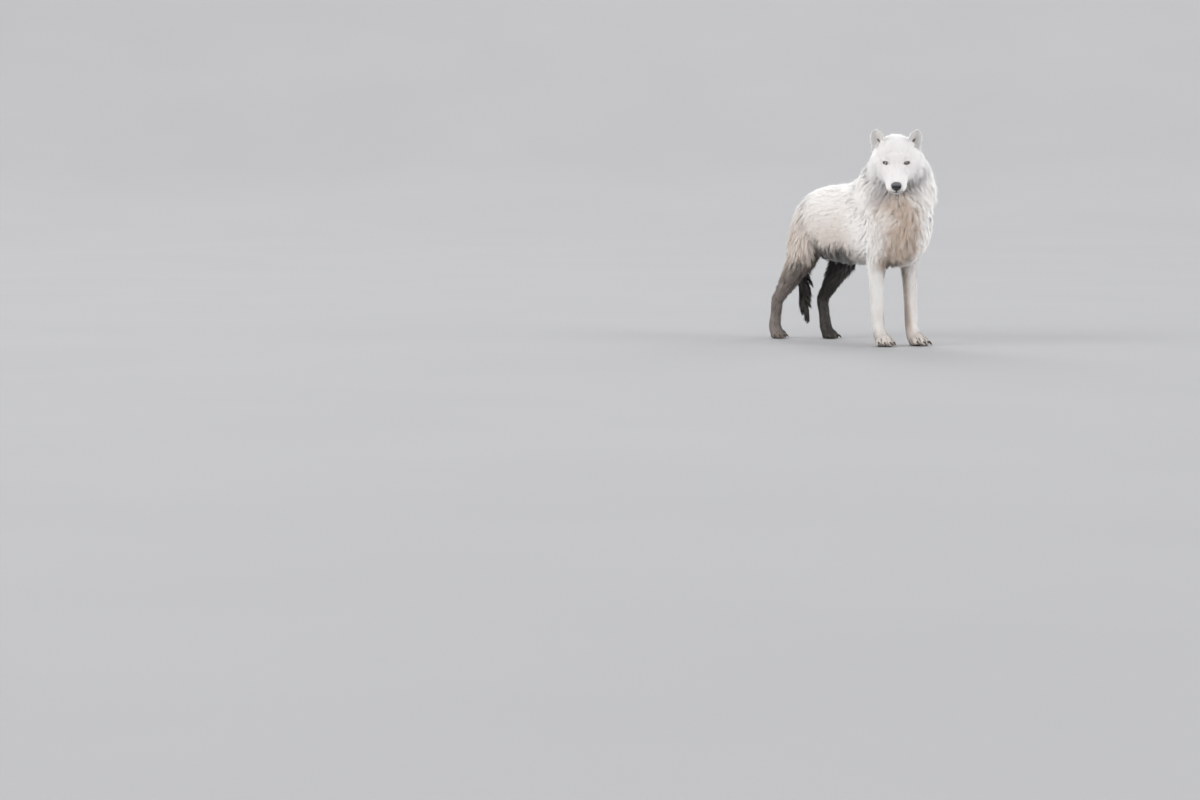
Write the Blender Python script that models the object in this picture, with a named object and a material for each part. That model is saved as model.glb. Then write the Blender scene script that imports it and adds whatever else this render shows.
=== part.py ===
"""An arctic wolf standing on four feet with its head turned to its right: a life-size still model.

Metres, +Z up. The wolf faces -Y and its left side is +X. The origin lies on the floor under the middle
of its bounding box. The outer surface is the outline of the full winter coat, out to the hair's tips.
The flesh is modelled whole, as lofts and lumps melted into one another, and then parted with thin cuts.
"""

import math

import bmesh
import bpy
from mathutils import Matrix, Vector

# Driving dimensions
GAP = 0.0003            # the slit left between two neighbouring pieces
WITHERS_HEIGHT = 0.702  # top of the coat over the shoulders
BELLY_HEIGHT = 0.338    # lowest hair of the brisket and belly
TRUNK_HALF_WIDTH = 0.142
FORE_STANCE = 0.072     # half the distance between the forefeet

LEFT, RIGHT = 1, -1     # the sides of the wolf, as signs of X

HEAD_TURN = math.radians(-40)   # about Z, towards the wolf's right
HEAD_BOW = math.radians(20)     # muzzle down
EYE_LINE = Vector((-0.105, -0.400, 0.776))  # the origin of the head's frame, just under the stop
EYE_SPREAD = 0.0410     # from the midline to an eye's centre
EYE_RISE = 0.007        # an eye's centre above the head's frame
EYE_RADIUS = 0.0130

# Fineness of the modelled surface
RING_POINTS = 24
SPAN_STEPS = 5
CLAY_VOXEL = 0.005
CLAY_SMOOTHINGS = 8
FLESH_TRIANGLES = 3240

for leftover in list(bpy.data.objects):
    bpy.data.objects.remove(leftover)

HEAD_PLACE = Matrix.Translation(EYE_LINE) @ Matrix.Rotation(HEAD_TURN, 4, "Z") @ Matrix.Rotation(HEAD_BOW, 4, "X")


# ---------------------------------------------------------------- materials

def finish(name, colour, roughness):
    """A plain surface of one colour."""
    material = bpy.data.materials.new(name)
    material.use_nodes = True
    shader = material.node_tree.nodes["Principled BSDF"]
    shader.inputs["Base Color"].default_value = (*colour, 1.0)
    shader.inputs["Roughness"].default_value = roughness
    return material


WHITE_COAT = finish("white_coat", (0.84, 0.81, 0.77), 0.85)
CREAM_COAT = finish("cream_coat", (0.66, 0.58, 0.51), 0.85)
MUDDY_COAT = finish("muddy_coat", (0.14, 0.12, 0.11), 0.80)
NOSE_LEATHER = finish("nose_leather", (0.015, 0.016, 0.020), 0.35)
EYE_GLOSS = finish("eye_gloss", (0.35, 0.30, 0.20), 0.08)
CLAW_HORN = finish("claw_horn", (0.035, 0.030, 0.028), 0.40)


# ---------------------------------------------------------------- modelling tools

def smooth_line(stations, steps=SPAN_STEPS):
    """Stations on a Catmull-Rom line through the given ones, every number eased alike."""
    line = []
    for i in range(len(stations) - 1):
        before = stations[max(i - 1, 0)]
        here, there = stations[i], stations[i + 1]
        after = stations[min(i + 2, len(stations) - 1)]
        for k in range(steps):
            t = k / steps
            line.append([
                0.5 * (2 * b + (c - a) * t + (2 * a - 5 * b + 4 * c - d) * t**2 + (3 * b - a - 3 * c + d) * t**3)
                for a, b, c, d in zip(before, here, there, after)
            ])
    line.append(list(stations[-1]))
    return line


def mesh_object(name, bm):
    """The edited mesh as an object of the scene, with its faces pointing out."""
    bmesh.ops.recalc_face_normals(bm, faces=bm.faces)
    mesh = bpy.data.meshes.new(name)
    bm.to_mesh(mesh)
    bm.free()
    made = bpy.data.objects.new(name, mesh)
    bpy.context.scene.collection.objects.link(made)
    return made


def loft(name, stations, squareness=2.0, egg=0.0, side=Vector((1, 0, 0)), steps=SPAN_STEPS, points=RING_POINTS):
    """A closed tube through stations of (x, y, z, across, rise, fall).

    Across is the half width along side. Rise and fall are the two half depths at right angles to it, so
    on a trunk or head that runs forwards they point up and down, and on a leg that runs down they point
    forwards and back. Squareness 2 is an ellipse, and egg widens the rise side and narrows the fall side.
    """
    line = smooth_line(stations, steps)
    centres = [Vector(s[:3]) for s in line]
    bm = bmesh.new()
    rings = []
    for i, (centre, station) in enumerate(zip(centres, line)):
        along = (centres[min(i + 1, len(line) - 1)] - centres[max(i - 1, 0)]).normalized()
        flat_side = (side - along * side.dot(along)).normalized()
        upward = along.cross(flat_side)
        across, rise, fall = (max(size, 0.001) for size in station[3:6])
        ring = []
        for k in range(points):
            angle = 2 * math.pi * k / points
            c, s = math.cos(angle), math.sin(angle)
            x = across * math.copysign(abs(c) ** (2 / squareness), c) * (1 + egg * s)
            y = (rise if s > 0 else fall) * math.copysign(abs(s) ** (2 / squareness), s)
            ring.append(bm.verts.new(centre + flat_side * x + upward * y))
        rings.append(ring)
    for lower, upper in zip(rings, rings[1:]):
        for k in range(points):
            n = (k + 1) % points
            bm.faces.new((lower[k], lower[n], upper[n], upper[k]))
    bm.faces.new(list(reversed(rings[0])))
    bm.faces.new(rings[-1])
    return mesh_object(name, bm)


def lump(name, centre, radii, turn=Matrix.Identity(4)):
    """An ellipsoid, turned about its own centre."""
    bm = bmesh.new()
    bmesh.ops.create_icosphere(bm, subdivisions=3, radius=1.0)
    bm.transform(Matrix.Translation(Vector(centre)) @ turn @ Matrix.Diagonal((*radii, 1.0)))
    return mesh_object(name, bm)


def placed(pieces, matrix):
    for piece in pieces:
        piece.data.transform(matrix)
    return pieces


def settled(shaped):
    """The object with its modifiers turned into plain mesh."""
    graph = bpy.context.evaluated_depsgraph_get()
    mesh = bpy.data.meshes.new_from_object(shaped.evaluated_get(graph))
    shaped.modifiers.clear()
    shaped.data = mesh
    return shaped


def joined(name, pieces):
    """All the pieces' meshes in one object; the pieces themselves go."""
    bm = bmesh.new()
    for piece in pieces:
        bm.from_mesh(piece.data)
        bpy.data.objects.remove(piece)
    mesh = bpy.data.meshes.new(name)
    bm.to_mesh(mesh)
    bm.free()
    made = bpy.data.objects.new(name, mesh)
    bpy.context.scene.collection.objects.link(made)
    return made


def melted(name, pieces, voxel, smoothings):
    """Overlapping pieces made one closed surface, with the creases between them eased."""
    clay = joined(name, pieces)
    remesh = clay.modifiers.new("melt", "REMESH")
    remesh.mode = "VOXEL"
    remesh.voxel_size = voxel
    ease = clay.modifiers.new("ease", "SMOOTH")
    ease.factor = 0.5
    ease.iterations = smoothings
    return settled(clay)


def combined(body, other, operation, keep=False):
    """The body after a Boolean with the other object, which goes unless it is kept."""
    cut = body.modifiers.new(operation.lower(), "BOOLEAN")
    cut.operation = operation
    cut.solver = "EXACT"
    cut.object = other
    bpy.context.view_layer.update()
    settled(body)
    if not keep:
        bpy.data.objects.remove(other)
    return body


def grown(shape, by):
    """A copy of a shape with every point moved out along its normal."""
    copy = bpy.data.objects.new(shape.name + "_grown", shape.data.copy())
    bpy.context.scene.collection.objects.link(copy)
    for vertex in copy.data.vertices:
        vertex.co += vertex.normal * by
    return copy


def zone(planes, by=0.0):
    """The convex space behind planes of (point, outward normal), each moved outwards by the given amount."""
    bm = bmesh.new()
    bmesh.ops.create_cube(bm, size=3.0)
    for point, normal in planes:
        outward = Vector(normal).normalized()
        bmesh.ops.bisect_plane(
            bm, geom=bm.verts[:] + bm.edges[:] + bm.faces[:],
            plane_co=Vector(point) + outward * by, plane_no=outward, clear_outer=True,
        )
        bmesh.ops.holes_fill(bm, edges=[e for e in bm.edges if e.is_boundary])
    bmesh.ops.triangulate(bm, faces=bm.faces)
    return mesh_object("zone", bm)


def parted(body, name, planes):
    """Takes the piece that lies in the zone off the body, leaving a slit between the two."""
    piece = bpy.data.objects.new(name, body.data.copy())
    bpy.context.scene.collection.objects.link(piece)
    combined(piece, zone(planes), "INTERSECT")
    combined(body, zone(planes, GAP), "DIFFERENCE")
    return piece


# ---------------------------------------------------------------- trunk, neck and tail

# From the rump forwards: how far along Y, top of the coat, lowest hair, half width.
TRUNK_SECTIONS = [
    (0.358, 0.530, 0.460, 0.040),
    (0.328, 0.580, 0.425, 0.070),
    (0.272, 0.630, 0.394, 0.092),
    (0.190, 0.668, 0.368, 0.122),
    (0.060, 0.684, 0.346, TRUNK_HALF_WIDTH),
    (-0.100, 0.688, BELLY_HEIGHT, TRUNK_HALF_WIDTH + 0.003),
    (-0.240, WITHERS_HEIGHT, BELLY_HEIGHT, TRUNK_HALF_WIDTH - 0.006),
    (-0.340, 0.690, 0.350, 0.120),
    (-0.405, 0.650, 0.385, 0.094),
    (-0.445, 0.590, 0.440, 0.055),
]


def trunk():
    stations = [(0, y, (top + low) / 2, half, (top - low) / 2, (top - low) / 2) for y, top, low, half in TRUNK_SECTIONS]
    return [
        loft("trunk_mass", stations, squareness=2.2, egg=0.06, points=32),
        loft("withers", [
            (-0.020, -0.275, 0.790, 0.050, 0.060, 0.060),
            (0.000, -0.215, 0.720, 0.075, 0.062, 0.080),
            (0.008, -0.140, 0.650, 0.095, 0.066, 0.090),
            (0.005, -0.040, 0.605, 0.105, 0.080, 0.090),
            (0.000, 0.050, 0.580, 0.090, 0.080, 0.080),
        ]),
        lump("brisket", (0.000, -0.345, 0.470), (0.100, 0.100, 0.110)),
    ]


def neck():
    """The mane: a thick cone of hair from the shoulders up to the back of the skull."""
    turned = Matrix.Rotation(HEAD_TURN, 3, "Z") @ Vector((1, 0, 0))
    return [loft("mane", [
        (0.005, -0.220, 0.510, 0.120, 0.150, 0.130),
        (0.008, -0.245, 0.580, 0.152, 0.160, 0.130),
        (0.013, -0.262, 0.655, 0.174, 0.150, 0.125),
        (0.008, -0.280, 0.735, 0.152, 0.118, 0.115),
        (-0.009, -0.302, 0.800, 0.122, 0.088, 0.095),
        (-0.026, -0.318, 0.852, 0.085, 0.060, 0.068),
    ], side=turned, points=32)]


def tail():
    """Hangs from the rump and swings forwards between the hocks, thin and stringy at the end."""
    return [loft("brush", [
        (0.000, 0.262, 0.575, 0.042, 0.046, 0.040),
        (0.000, 0.318, 0.550, 0.048, 0.048, 0.044),
        (0.000, 0.360, 0.500, 0.046, 0.042, 0.042),
        (0.000, 0.376, 0.440, 0.046, 0.038, 0.044),
        (0.003, 0.377, 0.370, 0.044, 0.034, 0.044),
        (0.008, 0.368, 0.290, 0.038, 0.032, 0.038),
        (0.012, 0.354, 0.210, 0.028, 0.025, 0.028),
        (0.014, 0.340, 0.145, 0.019, 0.018, 0.020),
        (0.015, 0.332, 0.095, 0.010, 0.010, 0.010),
    ])]


# ---------------------------------------------------------------- head

# Each in the head's own frame: -Y is the way the nose points, from the eyes' midpoint, and +Z is the crown.
MUZZLE_SECTIONS = [
    # y, top, bottom, half width, from the nape to the lips
    (0.175, 0.064, -0.120, 0.080),
    (0.138, 0.086, -0.132, 0.102),
    (0.095, 0.088, -0.132, 0.110),
    (0.052, 0.069, -0.126, 0.103),
    (0.022, 0.043, -0.118, 0.088),
    (-0.004, 0.016, -0.111, 0.067),
    (-0.030, -0.002, -0.107, 0.054),
    (-0.060, -0.014, -0.104, 0.049),
    (-0.090, -0.023, -0.100, 0.045),
    (-0.112, -0.032, -0.094, 0.037),
    (-0.126, -0.043, -0.086, 0.025),
]

# The long hair of the cheeks, in the same way.
RUFF_SECTIONS = [
    (0.175, 0.000, -0.110, 0.090),
    (0.140, 0.030, -0.130, 0.124),
    (0.100, 0.040, -0.138, 0.131),
    (0.060, 0.030, -0.134, 0.118),
    (0.025, 0.008, -0.122, 0.090),
    (0.000, -0.010, -0.110, 0.062),
]


def skull():
    stations = [(0, y, (top + low) / 2, half, (top - low) / 2, (top - low) / 2) for y, top, low, half in MUZZLE_SECTIONS]
    ruff = [(0, y, (top + low) / 2, half, (top - low) / 2, (top - low) / 2) for y, top, low, half in RUFF_SECTIONS]
    pieces = [
        loft("skull_mass", stations, squareness=2.2, egg=-0.06, points=32),
        loft("ruff_mass", ruff, egg=-0.12, points=32),
        lump("chin", (0, -0.088, -0.086), (0.024, 0.026, 0.016)),
    ]
    for hand in (LEFT, RIGHT):
        pieces += [
            lump("brow", (hand * 0.036, 0.006, 0.027), (0.024, 0.020, 0.012)),
            lump("lip", (hand * 0.022, -0.096, -0.068), (0.023, 0.030, 0.023)),
        ]
    return placed(pieces, HEAD_PLACE)


EAR_HEIGHT = 0.094
EAR_HALF_WIDTH = 0.034
EAR_THICKNESS = 0.012
EAR_CUP = 0.018


def ear(hand):
    """A blunt leaf with a hollow front, set on the side of the crown and facing forwards and outwards."""
    across_steps, up_steps = 6, 8
    bm = bmesh.new()
    front, back = [], []
    for j in range(up_steps + 1):
        v = math.sin(math.pi / 2 * j / up_steps)
        half = EAR_HALF_WIDTH * max((1 - v ** 5) ** 0.5, 0.38) * (0.92 + 0.30 * v * (1 - v))
        front_row, back_row = [], []
        for i in range(across_steps + 1):
            u = 2 * i / across_steps - 1
            x = u * half - hand * 0.004 * v * v
            y = EAR_CUP * (1 - u * u) * (1 - 0.6 * v) + 0.010 * v
            z = v * EAR_HEIGHT
            thick = EAR_THICKNESS * (0.40 + 0.60 * (1 - abs(u) ** 3)) * (1 - 0.5 * v)
            front_row.append(bm.verts.new((x, y, z)))
            back_row.append(bm.verts.new((x, y + thick, z)))
        front.append(front_row)
        back.append(back_row)
    for j in range(up_steps):
        for i in range(across_steps):
            bm.faces.new((front[j][i], front[j][i + 1], front[j + 1][i + 1], front[j + 1][i]))
            bm.faces.new((back[j][i + 1], back[j][i], back[j + 1][i], back[j + 1][i + 1]))
        for i in (0, across_steps):
            bm.faces.new((front[j][i], back[j][i], back[j + 1][i], front[j + 1][i]))
    for j in (0, up_steps):
        for i in range(across_steps):
            bm.faces.new((front[j][i], front[j][i + 1], back[j][i + 1], back[j][i]))
    made = mesh_object("ear_left" if hand == LEFT else "ear_right", bm)
    seat = Matrix.Translation((hand * 0.074, 0.088, 0.030))
    turn = Matrix.Rotation(math.radians(hand * 20), 4, "Z") @ Matrix.Rotation(math.radians(16), 4, "X")
    splay = Matrix.Rotation(math.radians(hand * 8), 4, "Y")
    made.data.transform(HEAD_PLACE @ seat @ splay @ turn)
    return made


def eyeball(hand):
    return placed([lump("eye", (hand * EYE_SPREAD, -0.003, EYE_RISE), (EYE_RADIUS,) * 3)], HEAD_PLACE)[0]


def socket(hand):
    """The almond-shaped opening between the lids."""
    slant = Matrix.Rotation(math.radians(hand * 14), 4, "Z") @ Matrix.Rotation(math.radians(hand * -14), 4, "Y")
    opening = lump("socket", (hand * (EYE_SPREAD + 0.001), -0.016, EYE_RISE), (0.0150, 0.020, 0.0088), slant)
    return placed([opening], HEAD_PLACE)[0]


def nose():
    """The bare pad: wide at the top, narrow at the lip, with a rounded front."""
    pad = loft("nose", [
        (0, -0.108, -0.053, 0.0120, 0.0100, 0.0120),
        (0, -0.116, -0.053, 0.0200, 0.0150, 0.0180),
        (0, -0.127, -0.054, 0.0210, 0.0155, 0.0190),
        (0, -0.135, -0.055, 0.0165, 0.0125, 0.0150),
        (0, -0.138, -0.056, 0.0080, 0.0065, 0.0080),
    ], squareness=2.3, egg=0.22, steps=2, points=12)
    return placed([pad], HEAD_PLACE)[0]


# ---------------------------------------------------------------- legs and feet

def foreleg(hand, ahead):
    """Shoulder to pastern; ahead moves the lower leg forwards."""
    x = FORE_STANCE
    stations = [
        (0.055, -0.215, 0.620, 0.050, 0.060, 0.080),
        (0.072, -0.280, 0.540, 0.058, 0.080, 0.085),
        (0.079, -0.290, 0.460, 0.054, 0.072, 0.078),
        (0.084, -0.262 - ahead * 0.3, 0.385, 0.044, 0.052, 0.056),
        (0.080, -0.258 - ahead * 0.6, 0.310, 0.036, 0.037, 0.040),
        (x + 0.006, -0.260 - ahead * 0.8, 0.220, 0.031, 0.032, 0.033),
        (x + 0.003, -0.262 - ahead, 0.140, 0.030, 0.031, 0.030),
        (x, -0.268 - ahead, 0.085, 0.028, 0.028, 0.029),
        (x, -0.282 - ahead, 0.045, 0.033, 0.030, 0.030),
        (x, -0.292 - ahead, 0.022, 0.034, 0.030, 0.026),
    ]
    return [loft("foreleg_mass", [(hand * s[0], *s[1:]) for s in stations])]


def hind_leg(hand, hip, knee, hock, ankle):
    """Haunch to foot through the four joints, each a point in the leg's own side of the body."""
    def at(point, across, front, back):
        return (hand * point[0], point[1], point[2], across, front, back)

    def between(a, b, share):
        return tuple(p + (q - p) * share for p, q in zip(a, b))

    return [loft("hind_leg_mass", [
        at((hip[0] * 0.8, hip[1] - 0.02, hip[2] + 0.060), 0.036, 0.060, 0.060),
        at(hip, 0.056, 0.098, 0.090),
        at(between(hip, knee, 0.5), 0.060, 0.098, 0.106),
        at(knee, 0.052, 0.066, 0.085),
        at(between(knee, hock, 0.45), 0.040, 0.045, 0.056),
        at(between(knee, hock, 0.85), 0.028, 0.030, 0.036),
        at(hock, 0.028, 0.028, 0.034),
        at(between(hock, ankle, 0.5), 0.026, 0.026, 0.027),
        at(ankle, 0.029, 0.028, 0.029),
        at((ankle[0], ankle[1] - 0.014, 0.024), 0.031, 0.026, 0.026),
    ])]


# Sideways place, reach and thickness of the four toes of a forefoot, from the inner toe outwards.
TOES = [(-0.0330, 0.034, 0.0135), (-0.0125, 0.052, 0.0150), (0.0125, 0.052, 0.0150), (0.0330, 0.034, 0.0135)]


def foot_place(hand, heel, turn, size):
    """From a foot's own frame, where it points along -Y from the main pad, to the wolf's."""
    where = Matrix.Translation((hand * heel[0], heel[1], 0.0))
    return where @ Matrix.Rotation(math.radians(hand * turn), 4, "Z") @ Matrix.Diagonal((size, size, size, 1.0))


def foot(place):
    """Main pad, instep and four arched toes."""
    pieces = [
        lump("pad", (0, -0.002, 0.0125), (0.034, 0.029, 0.0175)),
        lump("instep", (0, -0.010, 0.034), (0.034, 0.034, 0.020)),
    ]
    for x, reach, thick in TOES:
        pieces.append(loft("toe", [
            (x * 0.55, 0.002, 0.034, thick * 0.9, thick * 0.9, thick * 0.9),
            (x * 0.85, -reach * 0.50, 0.030, thick, thick, thick),
            (x, -reach * 0.90, 0.018, thick, thick, thick * 1.15),
            (x * 1.04, -reach * 1.16, 0.008, thick * 0.80, thick * 0.80, thick * 0.80),
        ], points=12, steps=3))
    return placed(pieces, place)


def claws(place, name):
    """Four blunt, curved claws, each growing out of the end of a toe."""
    made = []
    for number, (x, reach, thick) in enumerate(TOES, start=1):
        claw = loft(f"claw_{name}_{number}", [
            (x * 1.02, -reach * 1.02, 0.0190, 0.0042, 0.0050, 0.0050),
            (x * 1.08, -reach - 0.0150, 0.0165, 0.0036, 0.0044, 0.0044),
            (x * 1.12, -reach - 0.0235, 0.0095, 0.0024, 0.0030, 0.0030),
            (x * 1.14, -reach - 0.0270, 0.0030, 0.0009, 0.0010, 0.0010),
        ], points=6, steps=1)
        made += placed([claw], place)
    return made


FORE_AHEAD = {LEFT: 0.032, RIGHT: -0.014}
HIND_JOINTS = {
    LEFT: ((0.060, 0.210, 0.525), (0.098, 0.170, 0.360), (0.082, 0.305, 0.170), (0.078, 0.280, 0.055)),
    RIGHT: ((0.060, 0.215, 0.520), (0.096, 0.238, 0.345), (0.090, 0.408, 0.168), (0.088, 0.430, 0.055)),
}
FEET = {
    "front_left": foot_place(LEFT, (FORE_STANCE, -0.298 - FORE_AHEAD[LEFT]), 4, 1.0),
    "front_right": foot_place(RIGHT, (FORE_STANCE, -0.298 - FORE_AHEAD[RIGHT]), 22, 1.0),
    "hind_left": foot_place(LEFT, (0.078, 0.266), 6, 0.88),
    "hind_right": foot_place(RIGHT, (0.088, 0.416), 14, 0.88),
}


# ---------------------------------------------------------------- the wolf, melted whole

flesh_pieces = trunk() + neck() + tail() + skull()
for hand in (LEFT, RIGHT):
    flesh_pieces += foreleg(hand, FORE_AHEAD[hand]) + hind_leg(hand, *HIND_JOINTS[hand])
for place in FEET.values():
    flesh_pieces += foot(place)
body = melted("trunk", flesh_pieces, CLAY_VOXEL, CLAY_SMOOTHINGS)
thin_out = body.modifiers.new("facets", "DECIMATE")
thin_out.ratio = FLESH_TRIANGLES / sum(len(polygon.vertices) - 2 for polygon in body.data.polygons)
settled(body)
# The soles are flat, all at the floor.
combined(body, zone([((0, 0, 0), (0, 0, 1))]), "DIFFERENCE")


# ---------------------------------------------------------------- the thin cuts

def from_head(point, normal):
    """A plane given in the head's frame, in the wolf's."""
    return HEAD_PLACE @ Vector(point), HEAD_PLACE.to_3x3() @ Vector(normal)


def named(piece, name, material):
    piece.name = name
    piece.data.name = name
    piece.data.materials.clear()
    piece.data.materials.append(material)
    return piece


head = parted(body, "head", [
    from_head((0, 0.030, -0.130), (0, 0.805, -0.593)),
    from_head((0, 0, -0.150), (0, 0, -1)),
])
neck_piece = parted(body, "neck", [((0, -0.220, 0.700), (0, 0.563, -0.828))])
tail_piece = parted(body, "tail", [
    ((0, 0.322, 0.600), (0, -0.997, 0.050)),
    ((0.050, 0, 0), (1, 0, 0)),
    ((-0.050, 0, 0), (-1, 0, 0)),
    ((0, 0, 0.075), (0, 0, -1)),
])
named(body, "trunk", CREAM_COAT)
named(head, "head", WHITE_COAT)
named(neck_piece, "neck", WHITE_COAT)
named(tail_piece, "tail", MUDDY_COAT)

for hand, side in ((LEFT, "left"), (RIGHT, "right")):
    hip, knee, hock, ankle = HIND_JOINTS[hand]
    foreleg_piece = parted(body, f"foreleg_{side}", [
        ((hand * 0.035, 0, 0.318), (-hand * 0.60, 0, 0.80)),
        ((hand * 0.005, 0, 0), (-hand, 0, 0)),
        ((0, -0.080, 0), (0, 1, 0)),
    ])
    forefoot_piece = parted(foreleg_piece, f"forefoot_{side}", [((0, 0, 0.064), (0, 0, 1))])
    thigh_piece = parted(body, f"thigh_{side}", [
        ((hand * 0.040, 0, 0.360), (-hand * 0.920, 0, 0.391)),
        ((0, knee[1] - 0.085, 0.360), (0, -0.900, 0.436)),
        ((hand * 0.005, 0, 0), (-hand, 0, 0)),
    ])
    knee_point = Vector((hand * knee[0], knee[1], knee[2]))
    shin = Vector((hand * hock[0], hock[1], hock[2])) - knee_point
    shank_piece = parted(thigh_piece, f"shank_{side}", [(knee_point + shin * 0.22, -shin)])
    metatarsus_piece = parted(shank_piece, f"metatarsus_{side}", [((0, 0, hock[2] - 0.004), (0, 0, 1))])
    hind_foot_piece = parted(metatarsus_piece, f"hind_foot_{side}", [((0, 0, 0.056), (0, 0, 1))])
    named(foreleg_piece, f"foreleg_{side}", WHITE_COAT)
    named(thigh_piece, f"thigh_{side}", CREAM_COAT)
    named(shank_piece, f"shank_{side}", MUDDY_COAT)
    named(metatarsus_piece, f"metatarsus_{side}", MUDDY_COAT)
    for foot_piece, place_name in ((forefoot_piece, f"front_{side}"), (hind_foot_piece, f"hind_{side}")):
        for claw in claws(FEET[place_name], place_name):
            combined(foot_piece, grown(claw, GAP), "DIFFERENCE")
            named(claw, claw.name, CLAW_HORN)
    named(forefoot_piece, f"forefoot_{side}", WHITE_COAT)
    named(hind_foot_piece, f"hind_foot_{side}", MUDDY_COAT)

    eye_piece = eyeball(hand)
    combined(head, socket(hand), "DIFFERENCE")
    combined(head, grown(eye_piece, GAP), "DIFFERENCE")
    named(eye_piece, f"eye_{side}", EYE_GLOSS)

nose_piece = nose()
combined(head, grown(nose_piece, GAP), "DIFFERENCE")
named(nose_piece, "nose", NOSE_LEATHER)
for hand, side in ((LEFT, "left"), (RIGHT, "right")):
    ear_piece = ear(hand)
    combined(ear_piece, grown(head, GAP), "DIFFERENCE")
    named(ear_piece, f"ear_{side}", WHITE_COAT)


# ---------------------------------------------------------------- origin under the middle of the wolf

solids = list(bpy.context.scene.collection.objects)
corners = [vertex.co for piece in solids for vertex in piece.data.vertices]
middle = Vector((
    (min(c.x for c in corners) + max(c.x for c in corners)) / 2,
    (min(c.y for c in corners) + max(c.y for c in corners)) / 2,
    min(c.z for c in corners),
))
for piece in solids:
    piece.data.transform(Matrix.Translation(-middle))
    piece.data.update()
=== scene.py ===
import math

import bmesh
import bpy
import numpy as np
from mathutils import Matrix, Vector
from mathutils.bvhtree import BVHTree
from mathutils.kdtree import KDTree


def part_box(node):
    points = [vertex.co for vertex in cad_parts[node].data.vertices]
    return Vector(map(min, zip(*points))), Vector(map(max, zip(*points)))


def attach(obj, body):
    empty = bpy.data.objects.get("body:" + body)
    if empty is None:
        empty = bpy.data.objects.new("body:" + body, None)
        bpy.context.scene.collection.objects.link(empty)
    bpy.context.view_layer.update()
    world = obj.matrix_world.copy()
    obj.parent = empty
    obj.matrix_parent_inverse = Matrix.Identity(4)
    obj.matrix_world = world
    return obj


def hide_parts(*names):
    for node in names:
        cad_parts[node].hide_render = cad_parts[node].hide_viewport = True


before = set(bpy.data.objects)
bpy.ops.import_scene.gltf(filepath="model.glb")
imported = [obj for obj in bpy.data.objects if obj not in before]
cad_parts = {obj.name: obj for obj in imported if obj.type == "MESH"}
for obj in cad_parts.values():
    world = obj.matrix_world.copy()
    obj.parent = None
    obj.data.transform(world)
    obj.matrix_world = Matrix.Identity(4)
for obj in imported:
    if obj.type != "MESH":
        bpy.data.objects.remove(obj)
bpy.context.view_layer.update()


# ==== Studio ====
# A round light tent, a bowl of thin pale matt cloth with floor and wall in one sweep and no
# corner, with the wolf alone in the middle. Five broad lamps stand far outside it and shine
# through the cloth, so the floor is lit evenly from edge to edge; the rest is sky light.

BOWL_FLAT = 12.0
BOWL_SWEEP = 14.0
BOWL_WALL = 14.5
BOWL_SIDES = 96
BOWL_CURVE_STEPS = 24
CLOTH_COLOUR = (0.40, 0.40, 0.405)


def surface(name, values):
    """A new material, its node tree, and its shader with the given plain values."""
    material = bpy.data.materials.new(name)
    material.use_nodes = True
    shader = material.node_tree.nodes["Principled BSDF"]
    for socket, value in values.items():
        shader.inputs[socket].default_value = value
    return material, material.node_tree, shader


def added(tree, kind, values=None, **settings):
    """A new node of the given kind, with its settings and the plain values of its sockets."""
    node = tree.nodes.new(kind)
    for setting, value in settings.items():
        setattr(node, setting, value)
    for socket, value in (values or {}).items():
        node.inputs[socket].default_value = value
    return node


def graded(tree, *stops):
    """A colour ramp through the given stops, each a position and a colour."""
    node = added(tree, "ShaderNodeValToRGB")
    elements = node.color_ramp.elements
    for element, (position, colour) in zip(list(elements), (stops[0], stops[-1])):
        element.position = position
        element.color = (*colour, 1)
    for position, colour in stops[1:-1]:
        elements.new(position).color = (*colour, 1)
    return node


def wired(tree, *wires):
    """Joins the nodes: each wire goes from a node's named output to a node's named input."""
    for source, out, target, into in wires:
        tree.links.new(source.outputs[out], target.inputs[into])


def cloth_material():
    """Thin matt cloth: nearly even, with a faint slow mottle."""
    material, tree, shader = surface("tent_cloth", {"Roughness": 0.85})
    place = added(tree, "ShaderNodeTexCoord")
    mottle = added(tree, "ShaderNodeTexNoise", {"Scale": 0.8})
    tone = graded(tree, (0.3, [c * 0.97 for c in CLOTH_COLOUR]), (0.7, CLOTH_COLOUR))
    wired(
        tree,
        (place, "Object", mottle, "Vector"),
        (mottle, "Fac", tone, "Fac"),
        (tone, "Color", shader, "Base Color"),
    )
    return material


def linked(name, mesh):
    made = bpy.data.objects.new(name, mesh)
    bpy.context.scene.collection.objects.link(made)
    return made


def cast(bm, name):
    """The worked shape as a mesh; the working copy goes."""
    mesh = bpy.data.meshes.new(name)
    bm.to_mesh(mesh)
    bm.free()
    return mesh


def bowl():
    profile = [(BOWL_FLAT * 0.5, 0.0), (BOWL_FLAT, 0.0)]
    for step in range(1, BOWL_CURVE_STEPS + 1):
        a = math.pi / 2 * step / BOWL_CURVE_STEPS
        profile.append((BOWL_FLAT + BOWL_SWEEP * math.sin(a), BOWL_SWEEP * (1 - math.cos(a))))
    profile.append((BOWL_FLAT + BOWL_SWEEP, BOWL_WALL))
    bm = bmesh.new()
    bearings = [2 * math.pi * k / BOWL_SIDES for k in range(BOWL_SIDES)]
    rings = [[bm.verts.new((r * math.cos(a), r * math.sin(a), z)) for a in bearings] for r, z in profile]
    hub = bm.verts.new((0, 0, 0))
    for k in range(BOWL_SIDES):
        n = (k + 1) % BOWL_SIDES
        bm.faces.new((hub, rings[0][k], rings[0][n]))
        for inner, outer in zip(rings, rings[1:]):
            bm.faces.new((inner[k], outer[k], outer[n], inner[n]))
    mesh = cast(bm, "studio_bowl")
    mesh.shade_smooth()
    mesh.materials.append(cloth_material())
    return linked("studio_bowl", mesh)


tent = bowl()
tent.visible_shadow = False

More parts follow.
